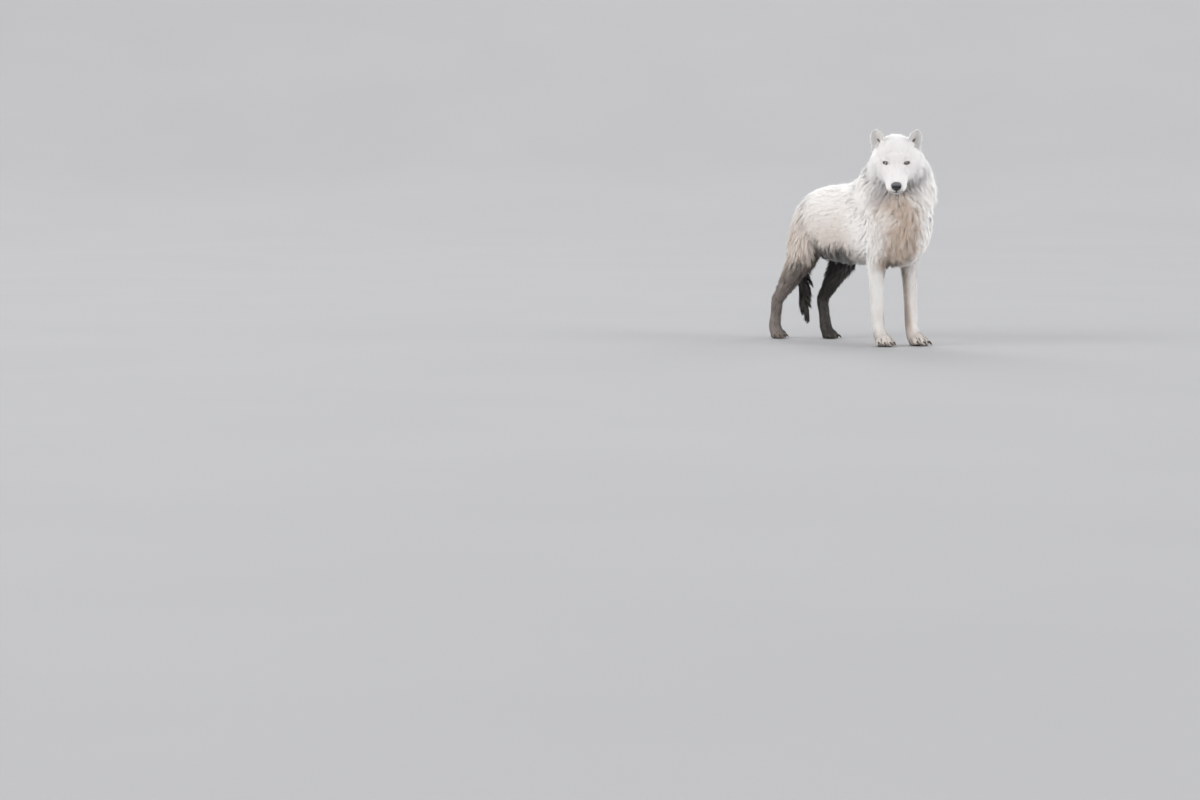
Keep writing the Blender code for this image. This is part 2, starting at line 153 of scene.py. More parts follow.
LAMPS = [
    # name, bearing, height and apparent breadth in degrees, strength at the wolf, colour
    ("key_lamp", -34, 26, 36, 0.50, (1.0, 0.985, 0.965)),
    ("left_lamp", -100, 18, 42, 2.15, (1.0, 0.985, 0.965)),
    ("right_lamp", 30, 16, 42, 1.70, (1.0, 0.99, 0.98)),
    ("far_right_lamp", 92, 20, 42, 0.75, (1.0, 0.99, 0.98)),
    ("rim_lamp", 158, 34, 36, 0.87, (1.0, 0.99, 0.98)),
]
LAMP_DISTANCE = 30.0
for name, bearing, height, breadth, strength, colour in LAMPS:
    lamp = bpy.data.lights.new(name, "SUN")
    lamp.angle = math.radians(breadth)
    lamp.energy = strength
    lamp.color = colour
    hung = bpy.data.objects.new(name, lamp)
    bpy.context.scene.collection.objects.link(hung)
    turned, raised = math.radians(bearing), math.radians(height)
    level = math.cos(raised)
    towards = Vector((math.sin(turned) * level, -math.cos(turned) * level, math.sin(raised)))
    hung.location = towards * LAMP_DISTANCE
    hung.visible_camera = False
    hung.rotation_mode = "QUATERNION"
    hung.rotation_quaternion = (-towards).to_track_quat("-Z", "Y")

sky = bpy.data.worlds.new("studio_sky")
sky.use_nodes = True
sky.node_tree.nodes["Background"].inputs["Color"].default_value = (0.93, 0.955, 1.0, 1)
sky.node_tree.nodes["Background"].inputs["Strength"].default_value = 0.75
bpy.context.scene.world = sky
bpy.context.scene.view_settings.view_transform = "Standard"


# ==== Where the wolf stands ====
# The body's own frame has its shoulders near the origin; the head's frame sits under the stop,
# with -Y out along the nose. Both are found from the two eyeballs that the solids hold.

HEAD_TURN = math.radians(-40)
HEAD_BOW = math.radians(20)
HEAD_IN_BODY = Vector((-0.105, -0.400, 0.776))
# An eyeball's centre in the head's frame.
EYE_ASIDE = 0.041
EYE_BACK = -0.003
EYE_RISE = 0.007
HEAD_AXES = Matrix.Rotation(HEAD_TURN, 4, "Z") @ Matrix.Rotation(HEAD_BOW, 4, "X")


def middle(node):
    low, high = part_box(node)
    return (low + high) / 2


eye_middles = {"left": middle("eye_left"), "right": middle("eye_right")}
between_eyes = (eye_middles["left"] + eye_middles["right"]) / 2
HEAD = Matrix.Translation(between_eyes - HEAD_AXES @ Vector((0, EYE_BACK, EYE_RISE))) @ HEAD_AXES
BODY = HEAD.translation - HEAD_IN_BODY
HEAD_INVERSE = np.array(HEAD.inverted())


# ==== Camera ====
# A long lens from the wolf's right front, a little above its eye level, aimed well to its right
# so that the wolf stands in the right half of the frame.

LENS_MM = 105.0
CAMERA_DISTANCE = 15.15
CAMERA_PIVOT_HEIGHT = 0.45
CAMERA_AZIMUTH = math.radians(-40)
CAMERA_HEIGHT_ANGLE = math.radians(2.0)
AIM_TURN = math.radians(4.142)
AIM_DROP = math.radians(2.654)

towards_camera = Vector((
    math.sin(CAMERA_AZIMUTH) * math.cos(CAMERA_HEIGHT_ANGLE),
    -math.cos(CAMERA_AZIMUTH) * math.cos(CAMERA_HEIGHT_ANGLE),
    math.sin(CAMERA_HEIGHT_ANGLE),
))
aim = Matrix.Rotation(AIM_TURN, 3, "Z") @ -towards_camera
aim = Matrix.Rotation(-AIM_DROP, 3, aim.cross(Vector((0, 0, 1))).normalized()) @ aim
camera_data = bpy.data.cameras.new("portrait_camera")
camera_data.lens = LENS_MM
camera_data.sensor_width = 36.0
camera_data.clip_end = 200.0
camera = bpy.data.objects.new("portrait_camera", camera_data)
bpy.context.scene.collection.objects.link(camera)
camera.location = BODY + Vector((0, 0, CAMERA_PIVOT_HEIGHT)) + towards_camera * CAMERA_DISTANCE
camera.rotation_mode = "QUATERNION"
camera.rotation_quaternion = aim.to_track_quat("-Z", "Y")
bpy.context.scene.camera = camera


# ==== Lie of the coat ====
# Lines through the body that the hair follows, from where it starts to where it points. Each
# station has its place, the body's half thickness there, how deep the skin lies under the tips,
# the length of the hair, and how much it draws together into locks.

FORE_AHEAD = {"left": 0.032, "right": -0.014}
HIND_JOINTS = {
    # hip, knee, hock and ankle, and how far back the foot stands
    "left": (
        (0.060, 0.210, 0.525), (0.098, 0.170, 0.360),
        (0.082, 0.305, 0.170), (0.078, 0.280, 0.055), 0.266,
    ),
    "right": (
        (0.060, 0.215, 0.520), (0.096, 0.238, 0.345),
        (0.090, 0.408, 0.168), (0.088, 0.430, 0.055), 0.416,
    ),
}
EAR_HEIGHT = 0.094
EAR_HALF_WIDTH = 0.034
EAR_CUP = 0.018
EARS = {
    side: HEAD @ Matrix.Translation((h * 0.074, 0.088, 0.030)) @ Matrix.Rotation(math.radians(h * 8), 4, "Y")
    @ Matrix.Rotation(math.radians(h * 20), 4, "Z") @ Matrix.Rotation(math.radians(16), 4, "X")
    for side, h in (("left", 1), ("right", -1))
}


def in_body(stations):
    return [(Vector(s[:3]) + BODY, *s[3:]) for s in stations]


def in_head(stations):
    return [(HEAD @ Vector(s[:3]), *s[3:]) for s in stations]


def foreleg_line(side):
    h, a = (1, FORE_AHEAD["left"]) if side == "left" else (-1, FORE_AHEAD["right"])
    return in_body([
        # place                               thick  skin    hair   locks
        (h * 0.066, -0.250, 0.560,            0.080, 0.0200, 0.050, 0.35),
        (h * 0.076, -0.288, 0.470,            0.070, 0.0170, 0.042, 0.35),
        (h * 0.084, -0.262 - a * 0.3, 0.385,  0.050, 0.0120, 0.030, 0.30),
        (h * 0.080, -0.258 - a * 0.6, 0.310,  0.038, 0.0075, 0.019, 0.25),
        (h * 0.078, -0.260 - a * 0.8, 0.220,  0.032, 0.0055, 0.014, 0.20),
        (h * 0.075, -0.262 - a, 0.140,        0.030, 0.0045, 0.012, 0.20),
        (h * 0.072, -0.268 - a, 0.085,        0.029, 0.0040, 0.011, 0.20),
        (h * 0.072, -0.286 - a, 0.045,        0.033, 0.0038, 0.010, 0.25),
        (h * 0.072, -0.325 - a, 0.022,        0.032, 0.0028, 0.008, 0.30),
    ])


def hind_line(side):
    h = 1 if side == "left" else -1
    hip, knee, hock, ankle, sole = HIND_JOINTS[side]

    def at(a, b, share, *rest):
        p = [u + (v - u) * share for u, v in zip(a, b)]
        return (h * p[0], p[1], p[2], *rest)

    return in_body([
        at(hip, knee, 0.0,   0.098, 0.0200, 0.050, 0.50),
        at(hip, knee, 0.5,   0.090, 0.0190, 0.054, 0.62),
        at(knee, hock, 0.0,  0.062, 0.0150, 0.050, 0.78),
        at(knee, hock, 0.45, 0.045, 0.0100, 0.040, 0.85),
        at(knee, hock, 0.85, 0.032, 0.0065, 0.026, 0.85),
        at(hock, ankle, 0.0, 0.031, 0.0052, 0.016, 0.80),
        at(hock, ankle, 0.5, 0.027, 0.0042, 0.013, 0.65),
        at(ankle, ankle, 0,  0.029, 0.0038, 0.011, 0.60),
        (h * ankle[0], sole - 0.025, 0.020, 0.028, 0.0028, 0.009, 0.55),
    ])


def ear_line(side):
    return [(EARS[side] @ Vector(s[:3]), *s[3:]) for s in [
        (0, 0.012, 0.020, 0.022, 0.0060, 0.018, 0.25),
        (0, 0.012, 0.040, 0.026, 0.0050, 0.016, 0.20),
        (0, 0.012, 0.065, 0.024, 0.0045, 0.014, 0.20),
        (0, 0.014, 0.092, 0.016, 0.0040, 0.013, 0.20),
    ]]


LINES = {
    "trunk": in_body([
        (0, -0.330, 0.560, 0.125, 0.0192, 0.060, 0.40),
        (0, -0.180, 0.530, 0.160, 0.0176, 0.056, 0.42),
        (0, 0.000, 0.520, 0.160, 0.0168, 0.054, 0.45),
        (0, 0.160, 0.522, 0.150, 0.0168, 0.054, 0.50),
        (0, 0.280, 0.525, 0.115, 0.0168, 0.054, 0.55),
        (0, 0.350, 0.500, 0.060, 0.0160, 0.050, 0.60),
    ]),
    "chest": in_body([
        (-0.020, -0.335, 0.640, 0.105, 0.0240, 0.068, 0.50),
        (-0.005, -0.370, 0.540, 0.090, 0.0224, 0.066, 0.55),
        (0.000, -0.365, 0.450, 0.080, 0.0192, 0.060, 0.62),
        (0.000, -0.320, 0.380, 0.060, 0.0160, 0.054, 0.78),
    ]),
    "neck": in_body([
        (-0.030, -0.320, 0.860, 0.070, 0.0213, 0.052, 0.35),
        (-0.009, -0.302, 0.800, 0.110, 0.0243, 0.064, 0.40),
        (0.008, -0.280, 0.735, 0.145, 0.0274, 0.074, 0.42),
        (0.013, -0.260, 0.655, 0.165, 0.0266, 0.074, 0.42),
        (0.008, -0.240, 0.570, 0.150, 0.0228, 0.066, 0.42),
    ]),
    "head": in_head([
        (0, -0.128, -0.062, 0.026, 0.0022, 0.006, 0.15),
        (0, -0.090, -0.062, 0.042, 0.0028, 0.008, 0.15),
        (0, -0.045, -0.056, 0.050, 0.0036, 0.010, 0.15),
        (0, -0.005, -0.045, 0.065, 0.0050, 0.014, 0.20),
        (0, 0.035, -0.035, 0.088, 0.0078, 0.024, 0.28),
        (0, 0.080, -0.030, 0.108, 0.0156, 0.042, 0.35),
        (0, 0.130, -0.030, 0.112, 0.0211, 0.054, 0.38),
        (0, 0.175, -0.030, 0.095, 0.0234, 0.058, 0.38),
    ]),
    "tail": in_body([
        (0.000, 0.290, 0.560, 0.046, 0.0190, 0.052, 0.50),
        (0.000, 0.345, 0.520, 0.046, 0.0200, 0.056, 0.60),
        (0.000, 0.376, 0.440, 0.044, 0.0200, 0.062, 0.75),
        (0.003, 0.377, 0.370, 0.042, 0.0200, 0.070, 0.80),
        (0.008, 0.368, 0.290, 0.036, 0.0190, 0.078, 0.85),
        (0.012, 0.354, 0.210, 0.027, 0.0150, 0.080, 0.85),
        (0.014, 0.340, 0.145, 0.019, 0.0105, 0.104, 0.92),
        (0.015, 0.332, 0.100, 0.010, 0.0055, 0.092, 0.96),
    ]),
}
for side in ("left", "right"):
    LINES[f"foreleg_{side}"] = foreleg_line(side)
    LINES[f"hind_{side}"] = hind_line(side)
    LINES[f"ear_{side}"] = ear_line(side)
HAIR_KINDS = list(LINES)


def eased(low, high, value):
    """0 below low and 1 above high, eased between; low may be the larger."""
    t = np.clip((value - low) / (high - low), 0, 1)
    return t * t * (3 - 2 * t)


def head_place(points):
    return points @ HEAD_INVERSE[:3, :3].T + HEAD_INVERSE[:3, 3]


def fringe(points):
    """1 along the belly line, in the groin and between the forelegs, where long hair hangs
    straight down."""
    x, y, z = (points - np.array(BODY)).T
    belly = eased(0.475, 0.420, z) * eased(0.34, 0.38, z) * eased(-0.16, -0.06, y)
    belly = belly * eased(0.27, 0.20, y) * eased(0.14, 0.10, np.abs(x))
    brisket = eased(0.430, 0.380, z) * eased(0.29, 0.33, z) * eased(-0.20, -0.25, y)
    brisket = brisket * eased(0.042, 0.012, np.abs(x + 0.012))
    return np.maximum(belly, 0.8 * brisket)


def lie_at(points):
    """For each point: which line it belongs to, how far along and round that line it is, the way
    the hair runs, and the blended skin depth, hair length and drawing-together."""
    count = len(points)
    best = np.full(count, 1e9)
    kind = np.zeros(count, int)
    along = np.zeros(count)
    around = np.zeros(count)
    total = np.zeros(count)
    way = np.zeros((count, 3))
    blend = np.zeros((count, 3))
    for index, name in enumerate(HAIR_KINDS):
        stations = LINES[name]
        axis = np.array(stations[-1][0] - stations[0][0])
        axis /= np.linalg.norm(axis)
        across = np.cross(axis, (0.3, 0.2, 0.9) if abs(axis[2]) < 0.7 else (0.2, 1.0, 0.1))
        across /= np.linalg.norm(across)
        up = np.cross(axis, across)
        nearest = np.full(count, 1e9)
        share_at = np.zeros(count)
        angle = np.zeros(count)
        pull = np.zeros((count, 3))
        values = np.zeros((count, 3))
        for k, (a, b) in enumerate(zip(stations, stations[1:])):
            start, step = np.array(a[0]), np.array(b[0] - a[0])
            t = np.clip((points - start) @ step / (step @ step), 0, 1)
            out = points - start - t[:, None] * step
            ratio = np.linalg.norm(out, axis=1) / (a[1] + (b[1] - a[1]) * t)
            closer = ratio < nearest
            nearest = np.where(closer, ratio, nearest)
            share_at = np.where(closer, (k + t) / (len(stations) - 1), share_at)
            angle = np.where(closer, np.arctan2(out @ up, out @ across), angle)
            weight = (ratio + 0.02) ** -6
            pull += weight[:, None] * step / np.linalg.norm(step)
            row = np.array(a[2:])[None] + (np.array(b[2:]) - np.array(a[2:]))[None] * t[:, None]
            values = np.where(closer[:, None], row, values)
        weight = (nearest + 0.02) ** -9
        pull /= np.linalg.norm(pull, axis=1)[:, None] + 1e-9
        way += weight[:, None] * pull
        blend += weight[:, None] * values
        total += weight
        closer = nearest < best
        best = np.where(closer, nearest, best)
        kind = np.where(closer, index, kind)
        along = np.where(closer, share_at, along)
        around = np.where(closer, angle / (2 * math.pi) + 0.5, around)
    blend /= total[:, None]
    # Shorter and closer on the crown and round the eyes than on the cheeks.
    facing = head_place(points)
    crown = eased(-0.05, 0.03, facing[:, 2]) * eased(0.16, 0.10, facing[:, 1])
    crown = crown * eased(0.15, 0.12, np.abs(facing[:, 0]))
    blend[:, :2] *= (1 - 0.42 * crown)[:, None]
    blend[:, 2] *= 1 - 0.6 * crown
    blend[:, 1] *= 1 + 0.55 * fringe(points)
    return kind, along, around, way / total[:, None], blend


def foot_place(h, heel, turn, size):
    return (
        Matrix.Translation(BODY + Vector((h * heel[0], heel[1], 0)))
        @ Matrix.Rotation(math.radians(h * turn), 4, "Z") @ Matrix.Scale(size, 4)
    )


FEET = {
    "front_left": foot_place(1, (0.072, -0.298 - FORE_AHEAD["left"]), 4, 1.0),
    "front_right": foot_place(-1, (0.072, -0.298 - FORE_AHEAD["right"]), 22, 1.0),
    "hind_left": foot_place(1, (0.078, 0.266), 6, 0.88),
    "hind_right": foot_place(-1, (0.088, 0.416), 14, 0.88),
}
TOE_GAPS = (-0.0225, 0.0, 0.0225)


def mottle(points, size, seed):
    """A slow random swell between about -1 and 1, with bumps of about the given size."""
    draw = np.random.default_rng(seed)
    total = np.zeros(len(points))
    for octave, strength in ((1.0, 0.6), (2.1, 0.4)):
        for _ in range(6):
            axis = draw.normal(size=3)
            axis *= octave * 2 * math.pi / (size * 2 * np.linalg.norm(axis))
            total += strength * np.sin(points @ axis + draw.uniform(0, 6.3)) / 3
    return total


def markings(points):
    """How tan, muddy, crusted and grey the coat is at each point: white above, cream at the rump and low
    on the flanks, tan down the middle of the chest, wet dark mud on the belly, tail and hind legs, and
    grey in the ears, under the jaw and over the eyes. Much of it is painted shade: the grey under the
    jaw, over the eyes and in the ear hollows, the dark ear pits, the toe creases (with some dirt), and,
    in part, the hind legs being darker on the shaded left than on the lit right."""
    place = points - np.array(BODY)
    x, y, z = place.T
    shift = mottle(points, 0.07, 11)
    fine = mottle(points, 0.022, 12)
    zz = z + 0.016 * shift + 0.010 * fine
    facing = head_place(points)
    fx, fy, fz = np.abs(facing[:, 0]), facing[:, 1], facing[:, 2]
    face = eased(0.10, 0.02, fy) * eased(-0.15, -0.12, fz) * eased(0.13, 0.09, fx)
    behind = eased(-0.24, -0.06, y)

    flank = 0.10 + 0.50 * eased(0.66, 0.42, zz) * behind + 0.06 * eased(0.02, 0.30, y) + 0.07 * shift
    rump = 0.32 * eased(0.22, 0.34, y) * eased(0.66, 0.48, zz)
    off_middle = np.abs(x + 0.056 + 0.012 * fine + 0.006 * shift)
    bib = 0.68 * eased(0.072, 0.020, off_middle) + 0.50 * eased(0.036, 0.006, off_middle)
    bib = bib * eased(-0.24, -0.32, y)
    bib = bib * (0.80 * eased(0.74, 0.60, zz) + 0.55 * eased(0.56, 0.42, zz) + 0.10 * fine)
    bib = bib * eased(0.74, 0.66, z) * eased(0.31, 0.34, z)
    paws = 0.42 * eased(0.095, 0.015, z) * (y < 0)
    # Tan, with a faint dark streak, down the inner half of the left foreleg.
    inner_left_foreleg = eased(0.064, 0.050, x) * (x > 0) * (y < -0.16) * eased(0.03, 0.10, z) * eased(0.41, 0.35, z)
    tan = np.clip(flank * (1 - face) * eased(0.78, 0.70, z) + rump + bib + paws + 0.68 * inner_left_foreleg, 0, 1)

    belly = eased(0.475, 0.400, zz) * (0.30 * eased(-0.24, -0.16, y) + 0.82 * eased(-0.14, -0.03, y))
    belly = belly * (1 - eased(0.08, 0.14, y) * eased(0.075, 0.100, np.abs(x)))
    brisket = 0.40 * eased(0.440, 0.370, zz) * eased(0.050, 0.014, np.abs(x + 0.036))
    brisket = brisket * (z > 0.30) * (y < -0.16)
    inner = 0.22 * inner_left_foreleg * eased(0.058, 0.050, x) * eased(0.05, 0.14, z)
    begins = 0.385 + 0.085 * eased(0.105, 0.070, np.abs(x)) + 0.115 * eased(0.32, 0.12, y)
    streaked = mottle(points * np.array((1, 1, 0.3)), 0.010, 14)
    # The right hind leg, on the lit side, is kept paler than the left, which stands in shade: partly painted
    # shade.
    lighter = 0.40 + 0.06 * eased(0.30, 0.22, z) + 0.12 * streaked
    leg = eased(0.03, 0.10, y) * eased(begins, begins - 0.13, zz + 0.010 * streaked)
    leg = leg * (1 - lighter * eased(-0.05, -0.09, x))
    tail_hair = eased(0.335, 0.355, y) * eased(0.058, 0.040, np.abs(x)) * eased(0.51, 0.38, zz)
    specks = 0.30 * (mottle(points, 0.0030, 13) > 0.85) * (y < -0.1) * eased(0.40, 0.30, z)
    specks = np.maximum(specks, 0.55 * eased(0.020, 0.006, z + 0.006 * fine) * (y < -0.1))
    # Painted shade, with some dirt: dark lines along the creases between the toes, added to the mud.
    toes = np.zeros(len(points))
    for foot in FEET.values():
        inverse = np.array(foot.inverted())
        u, v = inverse[:2, :3] @ points.T + inverse[:2, 3:]
        for gap in TOE_GAPS:
            crease = np.exp(-((u - gap * (1 - 6 * (v + 0.045))) / 0.0026) ** 2)
            toes = np.maximum(toes, crease * eased(-0.022, -0.034, v))
    toes = 0.72 * toes * eased(0.044, 0.032, z) * (0.7 + 0.5 * fine)
    mud = np.clip(np.maximum.reduce([belly, brisket, inner, leg, tail_hair, specks, toes]), 0, 1)
    # Pale crust of dried mud on the hind legs, nearly all on the lit right one: partly painted light, as the
    # left leg stands in shade.
    dried_mud_and_painted_light = eased(0.05, 0.12, y) * eased(0.42, 0.26, z) * np.where(x < 0, 1.0, 0.12) * (np.abs(x) > 0.045)

    # Painted shade: grey under the jaw, and faintly above each eye; the last term lays a faint grey over the
    # front of the face.
    grey = 0.70 * eased(0.02, 0.05, fy) * eased(0.17, 0.11, fy) * eased(-0.085, -0.125, fz)
    grey = grey * eased(0.10, 0.04, fx) * eased(-0.25, -0.18, fz)
    grey += 0.10 * np.exp(-(((fx - 0.036) / 0.016) ** 2 + ((fz - 0.026) / 0.008) ** 2)) * (fy < 0.04)
    grey += 0.18 * eased(0.12, 0.06, fy) * eased(-0.13, -0.10, fz) * eased(0.10, 0.07, fx)
    for side in EARS:
        inverse = np.array(EARS[side].inverted())
        leaf = points @ inverse[:3, :3].T + inverse[:3, 3]
        v = np.clip(leaf[:, 2] / EAR_HEIGHT, 0, 1)
        cup = EAR_CUP * (1 - (leaf[:, 0] / EAR_HALF_WIDTH) ** 2) * (1 - 0.6 * v) + 0.010 * v
        front = eased(0.0064, 0.0044, leaf[:, 1] - cup) * (np.abs(leaf[:, 0]) < 0.036) * (leaf[:, 1] > -0.02)
        # In the ear: a little grey inside the cup, partly the ear's own pinkish grey and partly painted
        # shade; the pit at its lower inner side is made dark grey and mud-dark as painted shade of the deep
        # recess.
        inside = front * eased(0.022, 0.012, np.abs(leaf[:, 0])) * eased(0.004, 0.016, leaf[:, 2])
        inside = inside * eased(0.074, 0.046, leaf[:, 2])
        medial = leaf[:, 0] * (-1 if side == "left" else 1)
        down = 0.030 - leaf[:, 2]
        pit = np.exp(-((medial - 0.002 - 0.45 * down) / 0.0042) ** 2) * front
        pit = pit * eased(-0.014, -0.002, down) * eased(0.028, 0.018, down)
        grey = np.maximum(grey, 0.15 * inside + 0.60 * pit)
        mud = np.maximum(mud, 0.70 * pit)
    return {"tan": tan, "mud": mud, "dried_mud_and_painted_light": dried_mud_and_painted_light, "grey": np.clip(grey, 0, 1)}


# ==== Skin ====
# One unbroken hide over the whole animal, lying inside the solids by the depth of the coat, with
# short felted under-fur. It carries the same markings as the hair above it.

SKIN_VOXEL = 0.0030
HIDE_VOXEL = 0.0026
FLOOR_GAP = 0.0004
KEPT_UNDER_COAT = 0.30
APART = ("eye", "nose", "claw", "ear")
flesh = [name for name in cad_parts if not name.startswith(APART)]


def settled(shaped):
    """The shaped object's mesh with its modifiers applied; the object itself goes."""
    graph = bpy.context.evaluated_depsgraph_get()
    mesh = bpy.data.meshes.new_from_object(shaped.evaluated_get(graph))
    bpy.data.objects.remove(shaped)
    return mesh


def melted(name, mesh, voxel, smoothings):
    clay = linked(name, mesh)
    remesh = clay.modifiers.new("melt", "REMESH")
    remesh.mode = "VOXEL"
    remesh.voxel_size = voxel
    ease = clay.modifiers.new("ease", "SMOOTH")
    ease.factor = 0.5
    ease.iterations = smoothings
    return settled(clay)


def points_of(mesh):
    co = np.empty(len(mesh.vertices) * 3)
    mesh.vertices.foreach_get("co", co)
    return co.reshape(-1, 3)


def normals_of(mesh):
    normals = np.empty(len(mesh.vertices) * 3)
    mesh.vertex_normals.foreach_get("vector", normals)
    return normals.reshape(-1, 3)


def unit(vectors, least=0.0):
    return vectors / (np.linalg.norm(vectors, axis=1)[:, None] + least)


def hold(mesh, name, values):
    """A value kept at each of the mesh's points, for the materials to read."""
    held = mesh.attributes.new(name, "FLOAT", "POINT")
    held.data.foreach_set("value", np.ascontiguousarray(values, dtype=np.float32))


def moved(mesh, co):
    mesh.vertices.foreach_set("co", np.ascontiguousarray(co, dtype=np.float32).ravel())
    mesh.update()


def whole_flesh():
    bm = bmesh.new()
    for name in flesh:
        bm.from_mesh(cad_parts[name].data)
    bmesh.ops.remove_doubles(bm, verts=bm.verts, dist=0.00002)
    mesh = cast(bm, "flesh")
    moved(mesh, points_of(mesh) + normals_of(mesh) * 0.0004)
    return melted("flesh", mesh, SKIN_VOXEL, 10)


def sunk(mesh):
    """The outline moved in by the coat's depth, but not off the floor."""
    co, normals = points_of(mesh), normals_of(mesh)
    blend = lie_at(co)[4]
    depth = blend[:, 0] * (1 - eased(0.016, 0.003, co[:, 2]))
    facing = head_place(co)
    for hand in (1, -1):
        reach = np.linalg.norm(facing - np.array((hand * EYE_ASIDE, -0.010, EYE_RISE)), axis=1)
        depth *= 0.35 + 0.65 * eased(0.014, 0.030, reach)
    muzzle_end = np.linalg.norm(facing - np.array((0, -0.124, -0.055)), axis=1)
    depth *= 0.3 + 0.7 * eased(0.016, 0.034, muzzle_end)
    co -= normals * depth[:, None]
    co[:, 2] = np.maximum(co[:, 2], FLOOR_GAP)
    moved(mesh, co)
    skin = linked("skin_shape", mesh)
    ease = skin.modifiers.new("ease", "SMOOTH")
    ease.factor = 0.5
    ease.iterations = 5
    return settled(skin)


def ear_leaf(side):
    """A thin cupped leaf, a little inside the ear's outline, ready to grow into the head."""
    across_steps, up_steps = 20, 24
    bm = bmesh.new()
    rows = {"front": [], "back": []}
    for j in range(up_steps + 1):
        v = math.sin(math.pi / 2 * j / up_steps)
        half = EAR_HALF_WIDTH * max((1 - v ** 5) ** 0.5, 0.30) * (0.92 + 0.30 * v * (1 - v)) - 0.0028
        lean = (-1 if side == "left" else 1) * 0.004 * v * v
        for layer, setback in (("front", 0.0036), ("back", 0.0036 + 0.0048 * (1 - 0.35 * v))):
            rows[layer].append([
                bm.verts.new((
                    u * half + lean,
                    EAR_CUP * (1 - u * u) * (1 - 0.6 * v) + 0.010 * v + setback,
                    v * (EAR_HEIGHT - 0.003) - 0.006 * (1 - v),
                ))
                for u in (2 * i / across_steps - 1 for i in range(across_steps + 1))
            ])
    for j in range(up_steps):
        for i in range(across_steps):
            f, b = rows["front"], rows["back"]
            bm.faces.new((f[j][i], f[j][i + 1], f[j + 1][i + 1], f[j + 1][i]))
            bm.faces.new((b[j][i + 1], b[j][i], b[j + 1][i], b[j + 1][i + 1]))
        for i in (0, across_steps):
            bm.faces.new((f[j][i], b[j][i], b[j + 1][i], f[j + 1][i]))
    for j in (0, up_steps):
        for i in range(across_steps):
            bm.faces.new((f[j][i], f[j][i + 1], b[j][i + 1], b[j][i]))
    bmesh.ops.recalc_face_normals(bm, faces=bm.faces)
    bm.transform(EARS[side])
    return cast(bm, f"ear_leaf_{side}")


def thinned(mesh):
    """Fewer triangles where the coat hides the skin, all of them on the face and ears."""
    hide = linked("hide_shape", mesh)
    facing = head_place(points_of(mesh))
    keep = eased(0.05, 0.0, facing[:, 1]) * (facing[:, 2] > -0.13)
    keep = np.maximum(keep, (facing[:, 2] > 0.072) * (np.abs(facing[:, 0]) > 0.030))
    keep = keep * (np.abs(facing[:, 0]) < 0.14)
    group = hide.vertex_groups.new(name="furred")
    for level in (0.0, 1.0):
        group.add([int(i) for i in np.flatnonzero((keep > 0.5) == (level < 0.5))], level, "REPLACE")
    thin = hide.modifiers.new("thin", "DECIMATE")
    thin.ratio = KEPT_UNDER_COAT
    thin.vertex_group = "furred"
    thin.vertex_group_factor = 8.0
    return settled(hide)


body_skin = sunk(whole_flesh())
bm = bmesh.new()
bm.from_mesh(body_skin)
for side in EARS:
    bm.from_mesh(ear_leaf(side))
bm.to_mesh(body_skin)
bm.free()
body_skin = thinned(melted("hide", body_skin, HIDE_VOXEL, 3))
co = points_of(body_skin)
co[:, 2] = np.maximum(co[:, 2], FLOOR_GAP)
moved(body_skin, co)

LID_SLANT = math.radians(13)
LID_OPEN = (0.0122, 0.0063)
LID_POINTS = 48
LID_RINGS = [
    # breadth as a share of the opening, and reach from the eye's middle, or none where it meets the skin
    (0.92, 0.0130),
    (0.96, 0.0139),
    (1.06, 0.0144),
    (1.20, 0.0144),
    (1.36, None),
    (1.62, None),
    (1.95, None),
]
ON_THE_EYE = 4


def eye_lids(side, skin_tree):
    """A thin ring round the eyeball: the dark wet rim of the lids, rising on to the skin."""
    h = 1 if side == "left" else -1
    centre = Vector((h * EYE_ASIDE, EYE_BACK, EYE_RISE))
    bm = bmesh.new()
    rows = []
    for k, (spread, lift) in enumerate(LID_RINGS):
        row = []
        for i in range(LID_POINTS):
            a = 2 * math.pi * i / LID_POINTS
            wide = LID_OPEN[0] * (spread if k < ON_THE_EYE else 1 + (spread - 1) * 0.75)
            tall = LID_OPEN[1] * (spread if k < ON_THE_EYE else 1.18 + (spread - 1.18) * 2.3)
            x = wide * math.cos(a)
            z = tall * math.sin(a) * (1 if math.sin(a) > 0 else 0.92) * abs(math.sin(a)) ** 0.15
            # the inner corner dips to the tear duct
            if math.cos(a) * h < -0.6:
                z -= 0.0014 * (-math.cos(a) * h - 0.6) / 0.4
            turned = Matrix.Rotation(-h * LID_SLANT, 3, "Y") @ Vector((x, 0, z))
            if lift:
                y = -math.sqrt(max(lift ** 2 - x * x - z * z, 0.004 ** 2))
                spot = HEAD @ (centre + Vector((turned.x, y, turned.z)))
            else:
                start = HEAD @ (centre + Vector((turned.x, -0.05, turned.z)))
                hit = skin_tree.ray_cast(start, HEAD.to_3x3() @ Vector((0, 1, 0)), 0.10)[0]
                bare = HEAD @ (centre + Vector((turned.x, -0.0132 + 0.10 * (abs(x) - 0.012), turned.z)))
                spot = hit if hit is not None else bare
                if k == ON_THE_EYE:
                    spot = spot * 0.25 + bare * 0.75
                elif k == ON_THE_EYE + 1:
                    spot = spot * 0.75 + bare * 0.25
                else:
                    spot = spot + HEAD.to_3x3() @ Vector((0, 0.0012, 0))
            row.append(bm.verts.new(spot))
        rows.append(row)
    for inner, outer in zip(rows, rows[1:]):
        for i in range(LID_POINTS):
            n = (i + 1) % LID_POINTS
            bm.faces.new((inner[i], inner[n], outer[n], outer[i]))
    bmesh.ops.subdivide_edges(bm, edges=bm.edges, cuts=1, use_grid_fill=True, smooth=0.6)
    bmesh.ops.recalc_face_normals(bm, faces=bm.faces)
    return cast(bm, f"lids_{side}")


def tree_of(mesh):
    return BVHTree.FromPolygons([v.co for v in mesh.vertices], [p.vertices for p in mesh.polygons])


